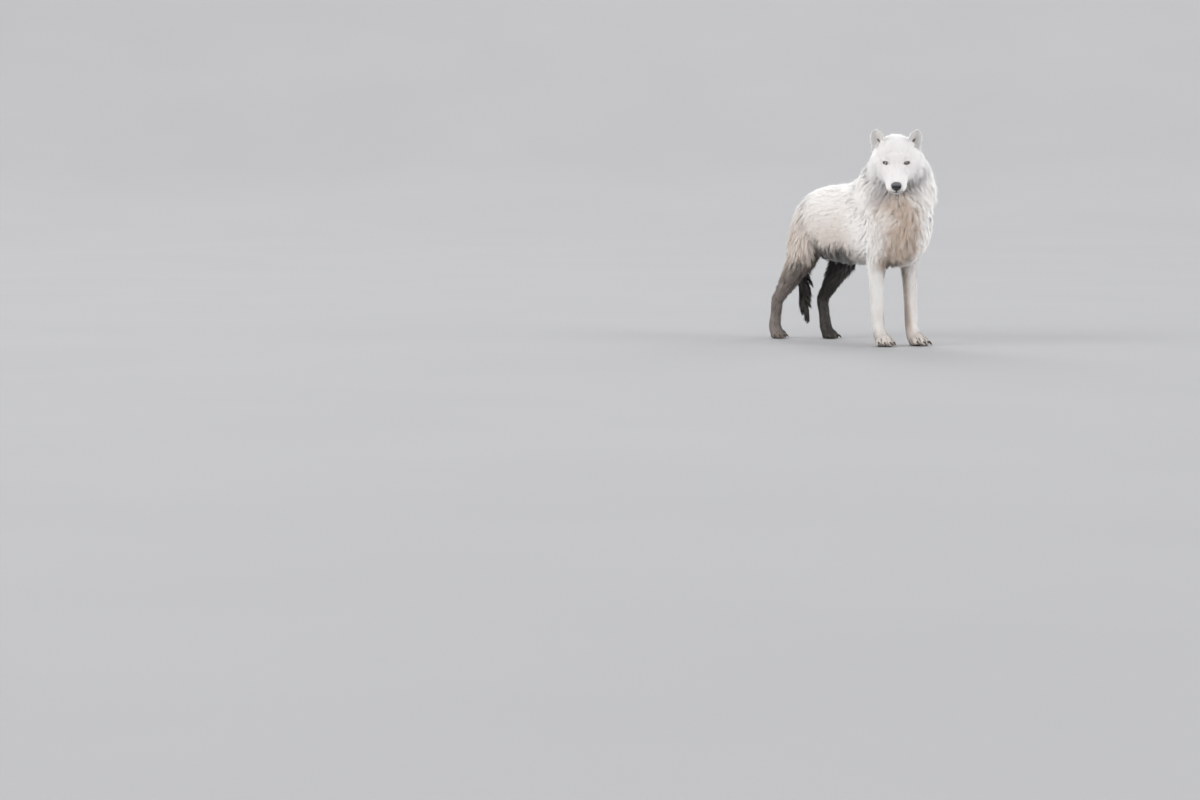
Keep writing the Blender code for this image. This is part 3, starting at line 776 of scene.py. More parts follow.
skin_tree = tree_of(body_skin)
bm = bmesh.new()
bm.from_mesh(body_skin)
for side in EARS:
    bm.from_mesh(eye_lids(side, skin_tree))
bmesh.ops.triangulate(bm, faces=bm.faces)
bm.to_mesh(body_skin)
bm.free()
body_skin.shade_smooth()
furred = body_skin.copy()
skin_tree = tree_of(furred)


LIP_LINE = [
    (0.0, -0.1230, -0.0810),
    (0.016, -0.1180, -0.0790),
    (0.028, -0.1050, -0.0780),
    (0.040, -0.0700, -0.0830),
    (0.047, -0.0350, -0.0920),
]


def lid_place(facing, h):
    """How far outwards and up from an eye's middle, along the slant of its lids."""
    x = (facing[:, 0] - h * EYE_ASIDE) * h
    z = facing[:, 2] - EYE_RISE
    c, s = math.cos(LID_SLANT), math.sin(LID_SLANT)
    return x * c + z * s, z * c - x * s


def lip_and_rim_darkness(points):
    """1 on the bare dark edges: lid rims, their outer streaks, lips, pads."""
    facing = head_place(points)
    dark = np.zeros(len(points))
    for h in (1, -1):
        u, v = lid_place(facing, h)
        ring = np.sqrt((u / LID_OPEN[0]) ** 2 + (v / LID_OPEN[1]) ** 2)
        near = (facing[:, 1] < 0.012) & (facing[:, 1] > -0.04)
        dark = np.maximum(dark, eased(1.42, 1.22, ring) * near)
        streak = eased(0.0020, 0.0008, np.abs(v + 0.0006)) * eased(0.010, 0.013, u)
        streak = streak * eased(0.018, 0.014, u)
        dark = np.maximum(dark, 0.5 * streak * (facing[:, 1] < 0.03))
        duct = eased(0.0026, 0.0010, np.abs(v + 0.0016)) * eased(-0.0105, -0.0125, u)
        duct = duct * eased(-0.0185, -0.0155, u)
        dark = np.maximum(dark, 0.8 * duct * near)
    folded = facing.copy()
    folded[:, 0] = np.abs(folded[:, 0])
    for a, b in zip(LIP_LINE, LIP_LINE[1:]):
        start, step = np.array(a), np.array(b) - np.array(a)
        t = np.clip((folded - start) @ step / (step @ step), 0, 1)
        away = folded - start - t[:, None] * step
        gap = np.linalg.norm(away[:, 1:], axis=1)
        near = np.linalg.norm(away, axis=1) < 0.016
        lip = eased(0.0036, 0.0016, gap) * near * (1 - 0.4 * eased(-0.09, -0.05, facing[:, 1]))
        dark = np.maximum(dark, lip)
    notch = eased(0.0050, 0.0025, folded[:, 0]) * eased(-0.085, -0.081, facing[:, 2])
    notch = notch * eased(-0.066, -0.070, facing[:, 2]) * (facing[:, 1] < -0.10)
    dark = np.maximum(dark, notch)
    pads = eased(0.006, 0.003, points[:, 2])
    return np.maximum(dark, 0.8 * pads)


def coat_colours():
    """One recipe of colour for the skin and the hair over it, mixed from the markings held at each
    point: white, then tan, grey (mostly painted shade), brown mud and black wet mud, with every hair a
    little different."""
    group = bpy.data.node_groups.new("coat_colours", "ShaderNodeTree")
    group.interface.new_socket("Strand", in_out="INPUT", socket_type="NodeSocketFloat")
    group.interface.new_socket("Color", in_out="OUTPUT", socket_type="NodeSocketColor")
    given = group.nodes.new("NodeGroupInput")
    result = group.nodes.new("NodeGroupOutput")

    def fill(socket, value):
        if isinstance(value, (int, float)):
            socket.default_value = value
        elif isinstance(value, tuple):
            socket.default_value = (*value, 1)
        else:
            group.links.new(value, socket)

    def mark(name):
        return added(group, "ShaderNodeAttribute", attribute_name=name).outputs["Fac"]

    def maths(operation, *values):
        node = added(group, "ShaderNodeMath", operation=operation)
        node.use_clamp = operation == "MULTIPLY_ADD"
        for socket, value in zip(node.inputs, values):
            fill(socket, value)
        return node.outputs[0]

    def mix(factor, under, over):
        node = added(group, "ShaderNodeMix", data_type="RGBA")
        for name, value in (("Factor", factor), ("A", under), ("B", over)):
            fill(node.inputs[name], value)
        return node.outputs["Result"]

    def share_of(value, low, high):
        node = added(group, "ShaderNodeMapRange", {"From Min": low, "From Max": high})
        fill(node.inputs["Value"], value)
        return node.outputs["Result"]

    place = added(group, "ShaderNodeTexCoord")
    slow = added(group, "ShaderNodeTexNoise", {"Scale": 14.0, "Detail": 3.0})
    wired(group, (place, "Object", slow, "Vector"))
    drift = slow.outputs["Fac"]
    strand = given.outputs["Strand"]
    white = mix(drift, (0.965, 0.955, 0.94), (0.925, 0.905, 0.875))
    white = mix(strand, white, (0.97, 0.968, 0.965))
    own_tan = maths("MULTIPLY", maths("SUBTRACT", strand, 0.5), maths("MULTIPLY", mark("tan"), 0.8))
    tan_share = maths("ADD", mark("tan"), own_tan)
    tanned = mix(tan_share, white, mix(strand, (0.44, 0.330, 0.250), (0.69, 0.570, 0.480)))
    # Grey: mostly painted shade under the jaw, over the eyes and in the ears.
    shade_greyed = mix(mark("grey"), tanned, mix(strand, (0.26, 0.22, 0.22), (0.52, 0.45, 0.45)))
    # The mud mark also carries the painted shade of the ear pits and the toe creases.
    mud = mark("mud")
    uneven = maths("ADD", mud, maths("MULTIPLY", maths("SUBTRACT", strand, 0.5), 0.28))
    brown = maths("MULTIPLY", uneven, maths("MINIMUM", maths("MULTIPLY", mud, 12.0), 1.0))
    browned = mix(share_of(brown, 0.05, 0.55), shade_greyed, (0.150, 0.118, 0.095))
    black = mix(strand, (0.018, 0.016, 0.014), (0.050, 0.043, 0.038))
    blackened = mix(share_of(uneven, 0.42, 0.90), browned, black)
    # The pale crust, mostly on the lit right hind leg, is partly painted light.
    crust = maths("ADD", maths("MULTIPLY", strand, 0.55), maths("MULTIPLY", drift, 0.55))
    crust = maths("MULTIPLY", share_of(crust, 0.44, 0.68), mark("dried_mud_and_painted_light"))
    crusted = mix(crust, blackened, (0.30, 0.265, 0.25))
    fill(result.inputs["Color"], mix(mark("dark"), crusted, (0.012, 0.011, 0.012)))
    return group


COAT_COLOURS = coat_colours()


def skin_material():
    """Felted under-fur seen between the hairs: short, matt, with a fine nap, and its colour darkened a
    little as painted shade under the hair.
    """
    material, tree, shader = surface("under_fur", {"Roughness": 0.85, "Specular IOR Level": 0.25})
    colours = added(tree, "ShaderNodeGroup", node_tree=COAT_COLOURS)
    place = added(tree, "ShaderNodeTexCoord")
    nap = added(tree, "ShaderNodeTexNoise", {"Scale": 420.0, "Detail": 2.0})
    # Painted shade: the colour multiplied down a little for the shade that the hair above casts.
    painted_shade_under_hair = added(tree, "ShaderNodeMix", data_type="RGBA", blend_type="MULTIPLY")
    painted_shade_under_hair.inputs["Factor"].default_value = 1.0
    painted_shade_under_hair.inputs["B"].default_value = (0.94, 0.93, 0.92, 1)
    bump = added(tree, "ShaderNodeBump", {"Strength": 0.5, "Distance": 0.001})
    wired(
        tree,
        (place, "Object", nap, "Vector"),
        (nap, "Fac", colours, "Strand"),
        (colours, "Color", painted_shade_under_hair, "A"),
        (painted_shade_under_hair, "Result", shader, "Base Color"),
        (nap, "Fac", bump, "Height"),
        (bump, "Normal", shader, "Normal"),
    )
    return material


def marked(mesh):
    """The coat's markings held at the mesh's points."""
    points = points_of(mesh)
    for name, values in {**markings(points), "dark": lip_and_rim_darkness(points)}.items():
        hold(mesh, name, values)


marked(body_skin)
body_skin.materials.append(skin_material())
skin = linked("skin", body_skin)
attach(skin, "root")
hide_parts(*flesh, "ear_left", "ear_right")


# ==== Coat ====
# Four hundred thousand flat tapering tufts, each a few hairs, rooted in the skin and lying over one
# another along the lie of the coat. Neighbours lean together into locks, loosely where the coat is
# dry and hard where it is wet.

TUFTS = 400000
ROW_SHARES = np.array([0.0, 0.30, 0.66, 1.0])
GUIDE_STEPS = 4
SHORT_HAIR = 0.056
ROOT_LIFT = 0.006
RISE_CURVE = 1.6
TUFT_WIDTHS = np.array([0.75, 1.0, 0.70, 0.0])
HAIR_DROOP = {"neck": 0.55, "chest": 0.55, "trunk": 0.40}

draw = np.random.default_rng(7)
furred.calc_loop_triangles()
corners = np.empty(len(furred.loop_triangles) * 3, int)
furred.loop_triangles.foreach_get("vertices", corners)
corners = corners.reshape(-1, 3)
hide_points, hide_normals = points_of(furred), normals_of(furred)


def part_along(vectors, axes):
    return (vectors * axes).sum(1)[:, None] * axes


def turned_on(vectors, axes, angles):
    """Each vector turned by its angle about the axis that it stands square to."""
    return vectors * np.cos(angles)[:, None] + np.cross(axes, vectors) * np.sin(angles)[:, None]


def scattered(spacing_of, count=None):
    """Points spread evenly over the skin, at the spacing that the hair of each place asks for."""
    a, b, c = (hide_points[corners[:, k]] for k in range(3))
    area = np.linalg.norm(np.cross(b - a, c - a), axis=1) / 2
    centre = (a + b + c) / 3
    blend = lie_at(centre)[4]
    share = area / spacing_of(blend, centre) ** 2
    share = share * (bare_at(centre) < 0.5)
    ends = np.cumsum(share)
    count = int(ends[-1]) if count is None else count
    marks = (np.arange(count) + draw.uniform(0, 1, count)) * ends[-1] / count
    which = np.searchsorted(ends, marks)
    u, v = draw.uniform(0, 1, count), draw.uniform(0, 1, count)
    over = u + v > 1
    u, v = np.where(over, 1 - u, u), np.where(over, 1 - v, v)
    w = 1 - u - v
    weights = np.stack([w, u, v], 1)[:, :, None]
    roots = (hide_points[corners[which]] * weights).sum(1)
    normals = (hide_normals[corners[which]] * weights).sum(1)
    return roots, unit(normals)


def bare_at(points):
    """1 where no hair grows: in the eyes, on the nose, the soles, and under the skin's own parts."""
    facing = head_place(points)
    bare = points[:, 2] < 0.0035
    for h in (1, -1):
        u, v = lid_place(facing, h)
        opening = (u / 0.0168) ** 2 + (v / 0.0084) ** 2 < 1
        bare |= opening & (facing[:, 1] < 0.02) & (facing[:, 1] > -0.05)
    pad = (facing[:, 0] / 0.0215) ** 2 + ((facing[:, 2] + 0.056) / 0.0185) ** 2 < 1
    bare |= pad & (facing[:, 1] < -0.112)
    return bare.astype(float)


def leaned(points, normals, way, kind):
    """The way the hair lies at each point, flat on the skin, drawn down by its weight."""
    names = np.array(HAIR_KINDS)[kind]
    droop = np.select([names == name for name in HAIR_DROOP], list(HAIR_DROOP.values()), 0.0)
    facing = head_place(points)
    cheek = 0.65 * eased(0.02, 0.12, facing[:, 1]) * eased(0.09, -0.05, facing[:, 2])
    droop = np.where(names == "head", cheek, droop)
    way = way.copy()
    way[:, 2] -= droop + 1.3 * fringe(points)
    way += 0.75 * (names == "neck")[:, None] * np.array((0.36, 0.93, 0.0))
    outwards = 0.45 * eased(0.02, 0.08, facing[:, 1])[:, None] * (names == "head")[:, None]
    outwards = outwards * (facing[:, :1] / 0.07).clip(-1, 1) * np.array(HEAD_AXES)[:3, 0]
    way += outwards * eased(0.09, -0.02, facing[:, 2])[:, None]
    way -= part_along(way, normals)
    return unit(way, 1e-6)


def lock_spacing(blend, points):
    hanging = (blend[:, 1] > 0.060) & (points[:, 1] - BODY[1] > 0.30)
    wider = (1 + 0.5 * (markings(points)["mud"] > 0.3)) * (1 + 0.5 * hanging)
    return np.clip(0.0012 + 0.17 * blend[:, 1], 0.0026, 0.0115) * wider


def tuft_spacing(blend, points):
    face = eased(0.10, -0.01, head_place(points)[:, 1])
    return np.clip(0.0025 + 0.001 * blend[:, 1], 0.0022, 0.0028) * (1 - 0.38 * face)


def shaggy(points):
    """1 where damp locks stand off the outline: thighs, rump, belly line and brisket."""
    x, y, z = (points - np.array(BODY)).T
    hind = eased(-0.02, 0.12, y) * eased(0.66, 0.50, z) * eased(0.14, 0.24, z)
    below = eased(0.47, 0.42, z) * eased(0.24, 0.30, z) * (y < 0.05)
    return np.maximum(hind, 0.8 * below)


# The locks: one guide each, walked over the skin at its height above it.
guide_roots, guide_normals = scattered(lock_spacing)
guides = len(guide_roots)
kind, along, _, _, blend = lie_at(guide_roots)
depth, length = blend[:, 0], blend[:, 1]
mud = markings(guide_roots)["mud"]
length = length * draw.uniform(0.85, 1.12, guides)
proud = draw.uniform(0.95 - 0.15 * mud, 1.04 + 0.10 * mud)
on_tail = np.array(HAIR_KINDS)[kind] == "tail"
proud = proud * (1 + on_tail * eased(0.28, 0.48, along) * draw.uniform(-0.15, 0.8, guides))
wisp = draw.uniform(0, 1, guides) < 0.05 + 0.16 * shaggy(guide_roots)
length = np.where(wisp, length * 1.22, length)
proud = np.where(wisp, proud * 1.15, proud)
unruly = 0.09 + 0.08 * mud + 0.12 * on_tail * (along > 0.3)
swirl = 0.20 * mottle(guide_roots, 0.06, 21) + draw.normal(0, 1, guides) * unruly
stiff = np.where(on_tail, 0.30 + 0.32 * eased(0.10, 0.40, along), 0.30)
stiff = np.maximum(stiff, 0.62 * np.maximum(wisp, fringe(guide_roots)))[:, None]
curve = np.zeros((GUIDE_STEPS + 1, guides, 3))
curve[0] = guide_roots
foot, normal = guide_roots.copy(), guide_normals.copy()
heading = None
for step in range(GUIDE_STEPS):
    lie = turned_on(leaned(foot, normal, lie_at(foot)[3], kind), normal, swirl)
    near, far = step / GUIDE_STEPS, (step + 1) / GUIDE_STEPS
    rise = depth * proud * (1 - (1 - far) ** RISE_CURVE)
    climb = depth * proud * ((1 - near) ** RISE_CURVE - (1 - far) ** RISE_CURVE)
    level = (length / GUIDE_STEPS) ** 2 - climb ** 2
    stride = np.sqrt(np.maximum(level, (0.3 * length / GUIDE_STEPS) ** 2))
    ahead = foot + lie * stride[:, None]
    found = [skin_tree.find_nearest(Vector(p)) for p in ahead]
    foot = np.array([f[0] for f in found])
    fresh = np.array([f[1] for f in found])
    normal = unit(normal * 0.35 + fresh * 0.65)
    laid = foot + normal * rise[:, None]
    if heading is None:
        curve[step + 1] = laid
    else:
        free = curve[step] + heading * (length / GUIDE_STEPS)[:, None]
        curve[step + 1] = laid * (1 - stiff) + free * stiff
    heading = unit(curve[step + 1] - curve[step])

guide_tree = KDTree(guides)
for i, p in enumerate(guide_roots + guide_normals * ROOT_LIFT):
    guide_tree.insert(p, i)
guide_tree.balance()

# The tufts: each follows the nearest lock and leans in to it towards its tip.
roots, normals = scattered(tuft_spacing, count=TUFTS)
own = np.array([guide_tree.find(p)[1] for p in roots + normals * ROOT_LIFT])
kind, along, around, _, blend = lie_at(roots)
marks_at_roots = markings(roots)
dark_at_roots = lip_and_rim_darkness(roots)
wet = marks_at_roots["mud"]
hair = blend[:, 1]
gather = np.clip(0.55 * blend[:, 2] + 0.55 * wet, 0, 0.94)
reach = draw.uniform(0.78, 1.08, TUFTS)
fluff = 1 - (0.38 + 0.17 * wet) * draw.uniform(0, 1, TUFTS) ** 1.6
stray = draw.uniform(0, 1, TUFTS) < np.where(kind == HAIR_KINDS.index("head"), 0.03, 0.07)
gather = np.where(stray, 0.1, gather)
fluff = np.where(stray, fluff * 1.25, fluff)
gather = np.where(wisp[own], np.maximum(gather, 0.80), gather)
fluff = np.where(wisp[own], 1 - 0.3 * (1 - fluff), fluff)
wobble = draw.normal(0, 0.10, TUFTS) * (1 - 0.5 * wet)
offsets = np.zeros((len(ROW_SHARES), TUFTS, 3))
for row, share in enumerate(ROW_SHARES):
    at = share * GUIDE_STEPS
    low = min(int(at), GUIDE_STEPS - 1)
    path = curve[low] + (curve[low + 1] - curve[low]) * (at - low)
    off = path[own] - guide_roots[own]
    out = part_along(off, normals)
    flat = turned_on(off - out, normals, wobble * share)
    off = (flat + out * fluff[:, None]) * reach[:, None]
    lean = (guide_roots[own] - roots) * (gather * share ** 1.4)[:, None]
    offsets[row] = off + lean
spine = roots[None] + offsets
spine[:, :, 2] = np.maximum(spine[:, :, 2], 0.0008)

breadth = (0.00066 + 0.0095 * hair) * draw.uniform(0.7, 1.25, TUFTS)
roll = draw.uniform(-0.35, 0.35, TUFTS)
shared = 0.62 * np.maximum(marks_at_roots["tan"], wet).clip(0, 1)
strand = draw.uniform(0, 1, TUFTS) * (1 - shared) + draw.uniform(0, 1, guides)[own] * shared

PIECES = {
    # which lines of hair, which side of the middle, which stretch along the line
    "coat_head": (["head", "ear_left", "ear_right"], 0, (0, 1)),
    "coat_neck": (["neck"], 0, (0, 1)),
    "coat_chest": (["chest"], 0, (0, 1)),
    "coat_ribs_left": (["trunk"], 1, (0, 0.5)),
    "coat_ribs_right": (["trunk"], -1, (0, 0.5)),
    "coat_rump_left": (["trunk"], 1, (0.5, 1)),
    "coat_rump_right": (["trunk"], -1, (0.5, 1)),
    "coat_foreleg_left": (["foreleg_left"], 0, (0, 1)),
    "coat_foreleg_right": (["foreleg_right"], 0, (0, 1)),
    "coat_hind_leg_left": (["hind_left"], 0, (0, 1)),
    "coat_hind_leg_right": (["hind_right"], 0, (0, 1)),
    "coat_tail": (["tail"], 0, (0, 1)),
}


def hair_material(name, roughness, specular, sheen):
    """Hair: soft, barely shiny, with painted shade making it a little darker at the root, and its colour
    from the shared recipe.
    """
    material, tree, shader = surface(name, {
        "Specular IOR Level": specular,
        "Sheen Weight": sheen,
        "Sheen Roughness": 0.5,
        "Roughness": roughness,
    })
    colours = added(tree, "ShaderNodeGroup", node_tree=COAT_COLOURS)
    strand_mark = added(tree, "ShaderNodeAttribute", attribute_name="strand")
    length_mark = added(tree, "ShaderNodeAttribute", attribute_name="along")
    # Painted shade: each tuft darkened a little towards its root, where the coat over it shades it.
    painted_root_shade = graded(tree, (0.0, (0.97, 0.965, 0.96)), (0.55, (1, 1, 1)))
    shade = added(tree, "ShaderNodeMix", data_type="RGBA", blend_type="MULTIPLY")
    shade.inputs["Factor"].default_value = 1.0
    wired(
        tree,
        (strand_mark, "Fac", colours, "Strand"),
        (length_mark, "Fac", painted_root_shade, "Fac"),
        (colours, "Color", shade, "A"),
        (painted_root_shade, "Color", shade, "B"),
        (shade, "Result", shader, "Base Color"),
    )
    return material


HAIR = {
    "white_fur": hair_material("dry_hair", 0.65, 0.30, 0.85),
    "muddy_fur": hair_material("damp_hair", 0.50, 0.40, 0.08),
}


def coat_piece(name, chosen, slot):
    """One joined mesh of tufts. A long tuft has three rows of two points and a tip, a short one two."""
    is_long = hair[chosen] > SHORT_HAIR
    chosen = np.concatenate([chosen[is_long], chosen[~is_long]])
    longs, count = int(is_long.sum()), len(chosen)
    line = spine[:, chosen]
    n = normals[chosen]
    points = np.zeros((count, 7, 3))
    for row in range(4):
        before, after = max(row - 1, 0), min(row + 1, 3)
        tangent = unit(line[after] - line[before], 1e-9)
        out = unit(n - part_along(n, tangent), 1e-9)
        across = np.cross(tangent, out)
        across = across * np.cos(roll[chosen])[:, None] + out * np.sin(roll[chosen])[:, None]
        half = across * (breadth[chosen] * TUFT_WIDTHS[row] / 2)[:, None]
        if row < 3:
            points[:, row * 2] = line[row] - half
            points[:, row * 2 + 1] = line[row] + half
        else:
            points[:, 6] = line[row]
    points[:, :, 2] = np.maximum(points[:, :, 2], 0.0006)
    # A short tuft leaves out the row before the tip.
    kept = np.ones((count, 7), bool)
    kept[longs:, 4:6] = False
    mesh_points = points[kept]
    first = np.concatenate([[0], np.cumsum(kept.sum(1))[:-1]])
    long_faces = np.array([0, 1, 3, 0, 3, 2, 2, 3, 5, 2, 5, 4, 4, 5, 6])
    short_faces = np.array([0, 1, 3, 0, 3, 2, 2, 3, 4])
    indices = np.concatenate([
        (first[:longs, None] + long_faces[None]).ravel(),
        (first[longs:, None] + short_faces[None]).ravel(),
    ])
    owner = np.repeat(np.arange(count), kept.sum(1))
    place_in_tuft = np.tile(np.arange(7), count).reshape(count, 7)[kept]
    mesh = bpy.data.meshes.new(name)
    mesh.vertices.add(len(mesh_points))
    mesh.vertices.foreach_set("co", mesh_points.astype(np.float32).ravel())
    mesh.loops.add(len(indices))
    mesh.loops.foreach_set("vertex_index", indices)
    mesh.polygons.add(len(indices) // 3)
    mesh.polygons.foreach_set("loop_start", np.arange(0, len(indices), 3))
    mesh.update(calc_edges=True)
    mesh.shade_smooth()

    # The colour patch of each tuft, on the line's own chart of the skin.
    columns = {k: i for i, k in enumerate(sorted(set(kind[chosen])))}
    column = np.array([columns[k] for k in kind[chosen]])
    u = (column + 0.02 + 0.96 * around[chosen]) / len(columns)
    v = 0.01 + 0.98 * along[chosen]
    corner = np.array([(-1, -1), (1, -1), (-1, -0.3), (1, -0.3), (-1, 0.4), (1, 0.4), (0, 1)]) * 0.0015
    chart = mesh.uv_layers.new(name="OFBake")
    spots = np.clip(np.stack([u, v], 1)[owner] + corner[place_in_tuft], 0, 1)
    chart.data.foreach_set("uv", spots[indices].astype(np.float32).ravel())

    held_marks = {k: m[chosen][owner] for k, m in marks_at_roots.items()}
    held_marks["dark"] = dark_at_roots[chosen][owner]
    held_marks["strand"] = strand[chosen][owner]
    held_marks["along"] = ROW_SHARES[[0, 0, 1, 1, 2, 2, 3]][place_in_tuft]
    for label, values in held_marks.items():
        hold(mesh, label, values)

    own_normals = normals_of(mesh)
    own_normals = np.where((own_normals * n[owner]).sum(1)[:, None] < 0, -own_normals, own_normals)
    soft = unit(own_normals * 0.22 + n[owner] * 0.78)
    mesh.normals_split_custom_set_from_vertices(soft.astype(np.float32))
    mesh.materials.append(HAIR[slot])
    piece = linked(name, mesh)
    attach(piece, "root")


left_of_middle = (roots - np.array(BODY))[:, 0] > 0
for name, (kinds, hand, (start, end)) in PIECES.items():
    chosen = np.isin(kind, [HAIR_KINDS.index(k) for k in kinds])
    chosen &= (along >= start) & ((along < end) | (end == 1))
    if hand:
        chosen &= left_of_middle == (hand > 0)
    chosen = np.flatnonzero(chosen)
    slot = "muddy_fur" if name.startswith(("coat_tail", "coat_hind")) else "white_fur"
    coat_piece(name, chosen, slot)


# ==== Eyes ====
# Two wet eyeballs with a pale yellow-grey iris under a clear cornea, set deep behind the lids.

EYE_RADIUS = 0.0130
CORNEA = 0.0004
EYE_SIDES = 48
EYE_RINGS = 40
IRIS = 0.42
PUPIL = 0.17


def eye_material():
    """Pupil, rayed iris, dark edge and white, by the angle from the gaze, under a clear wet coat."""
    material, tree, shader = surface("wet_eye", {
        "Roughness": 0.35,
        "Specular IOR Level": 0.15,
        "Coat Weight": 0.35,
        "Coat Roughness": 0.03,
    })
    off_gaze = added(tree, "ShaderNodeAttribute", attribute_name="off_gaze")
    turn = added(tree, "ShaderNodeAttribute", attribute_name="turn")
    rays = added(tree, "ShaderNodeTexNoise", {"Scale": 9.0, "Detail": 3.0})
    spread = added(tree, "ShaderNodeCombineXYZ")
    rings = graded(
        tree,
        (0.0, (0.004, 0.004, 0.005)),
        (PUPIL, (0.004, 0.004, 0.005)),
        (PUPIL + 0.015, (0.42, 0.38, 0.28)),
        ((PUPIL + IRIS) / 2, (0.62, 0.59, 0.50)),
        (IRIS - 0.03, (0.44, 0.42, 0.36)),
        (IRIS, (0.02, 0.018, 0.016)),
        (IRIS + 0.06, (0.03, 0.026, 0.025)),
        (IRIS + 0.12, (0.42, 0.37, 0.36)),
        (1.0, (0.20, 0.16, 0.15)),
    )
    mixed = added(tree, "ShaderNodeMix", data_type="RGBA", blend_type="MULTIPLY")
    mixed.inputs["Factor"].default_value = 0.6
    wired(
        tree,
        (turn, "Fac", spread, "X"),
        (off_gaze, "Fac", spread, "Y"),
        (spread, "Vector", rays, "Vector"),
        (off_gaze, "Fac", rings, "Fac"),
        (rings, "Color", mixed, "A"),
        (rays, "Color", mixed, "B"),
        (mixed, "Result", shader, "Base Color"),
    )
    return material


WET_EYE = eye_material()
for side, centre in eye_middles.items():
    gaze = (HEAD.to_3x3() @ Vector((0, -1, 0.05))).normalized()
    aside = gaze.cross(Vector((0, 0, 1))).normalized()
    above = aside.cross(gaze)
    bm = bmesh.new()
    rows = []
    for j in range(1, EYE_RINGS):
        a = math.pi * (j / EYE_RINGS) ** 1.25
        reach_out = EYE_RADIUS - CORNEA * (1 - math.exp(-(a / 0.42) ** 2))
        row = []
        for i in range(EYE_SIDES):
            t = 2 * math.pi * i / EYE_SIDES
            rim = aside * math.cos(t) + above * math.sin(t)
            row.append(bm.verts.new(centre + reach_out * (gaze * math.cos(a) + rim * math.sin(a))))
        rows.append(row)
    front = bm.verts.new(centre + gaze * EYE_RADIUS)
    back = bm.verts.new(centre - gaze * (EYE_RADIUS - CORNEA))
    for i in range(EYE_SIDES):
        n = (i + 1) % EYE_SIDES
        bm.faces.new((front, rows[0][i], rows[0][n]))
        bm.faces.new((back, rows[-1][n], rows[-1][i]))
        for inner, outer in zip(rows, rows[1:]):
            bm.faces.new((inner[i], outer[i], outer[n], inner[n]))
    bmesh.ops.recalc_face_normals(bm, faces=bm.faces)
    mesh = cast(bm, f"eyeball_{side}")
    out = unit(points_of(mesh) - np.array(centre))
    hold(mesh, "off_gaze", np.arccos(np.clip(out @ np.array(gaze), -1, 1)) / 1.3)
    hold(mesh, "turn", np.arctan2(out @ np.array(above), out @ np.array(aside)))
    mesh.shade_smooth()
    mesh.materials.append(WET_EYE)
    eyeball = linked(f"eyeball_{side}", mesh)
    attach(eyeball, "root")
    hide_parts(f"eye_{side}")


# ==== Nose ====
# The bare black pad: wide at the top, narrow at the lip, with two comma-shaped nostrils, a groove
# down the middle and fine pebbled leather.

PAD_SIDES = 96
PAD_RINGS = 56
PAD_HALF_WIDTH = 0.0212
PAD_HALF_HEIGHT = 0.0160
PAD_MIDDLE = -0.0545


def nose_mesh():
    bm = bmesh.new()
    rows = []
    for j in range(PAD_RINGS + 1):
        s = j / PAD_RINGS
        y = -0.1375 + 0.028 * (1 - math.cos(math.pi / 2 * s)) ** 0.9
        swell = math.sin(math.pi / 2 * min(1, (s * 1.5) ** 0.62))
        wide = PAD_HALF_WIDTH * swell * (1 - 0.30 * max(0, s - 0.7) / 0.3)
        tall = PAD_HALF_HEIGHT * swell * (1 - 0.25 * max(0, s - 0.7) / 0.3)
        row = []
        for i in range(PAD_SIDES):
            t = 2 * math.pi * i / PAD_SIDES
            c, d = math.cos(t), math.sin(t)
            x = wide * math.copysign(abs(c) ** 0.86, c)
            z = tall * math.copysign(abs(d) ** 0.86, d) * (1.0 if d > 0 else 1.14)
            x *= 1 + 0.20 * z / 0.018
            row.append((x, y + 0.10 * z, PAD_MIDDLE + z))
        rows.append(row)
    made = []
    for row in rows:
        line = []
        for x, y, z in row:
            h = abs(x)
            pit = math.exp(-(((h - 0.0098) / 0.0040) ** 2 + ((z + 0.0565) / 0.0034) ** 2))
            slant = z + 0.0600 - 0.25 * (h - 0.0160)
            slit = math.exp(-(((h - 0.0160) / 0.0045) ** 2 + (slant / 0.0016) ** 2))
            groove = math.exp(-((x / 0.0010) ** 2))
            groove = groove * (1 if z < -0.052 else max(0, 1 - (z + 0.052) / 0.006))
            wing = math.exp(-(((h - 0.0130) / 0.0050) ** 2 + ((z + 0.0500) / 0.0035) ** 2))
            front = 1 if y < -0.118 else max(0, 1 - (y + 0.118) / 0.006)
            y += (0.0062 * pit + 0.0040 * slit + 0.0012 * groove - 0.0008 * wing) * front
            line.append(bm.verts.new((x, y, z)))
        made.append(line)
    for inner, outer in zip(made, made[1:]):
        for i in range(PAD_SIDES):
            n = (i + 1) % PAD_SIDES
            bm.faces.new((inner[i], outer[i], outer[n], inner[n]))
    bm.faces.new(made[-1])
    bmesh.ops.remove_doubles(bm, verts=bm.verts, dist=0.00002)
    bmesh.ops.recalc_face_normals(bm, faces=bm.faces)
    bm.transform(HEAD)
    mesh = cast(bm, "nose_pad")
    mesh.shade_smooth()
    return mesh


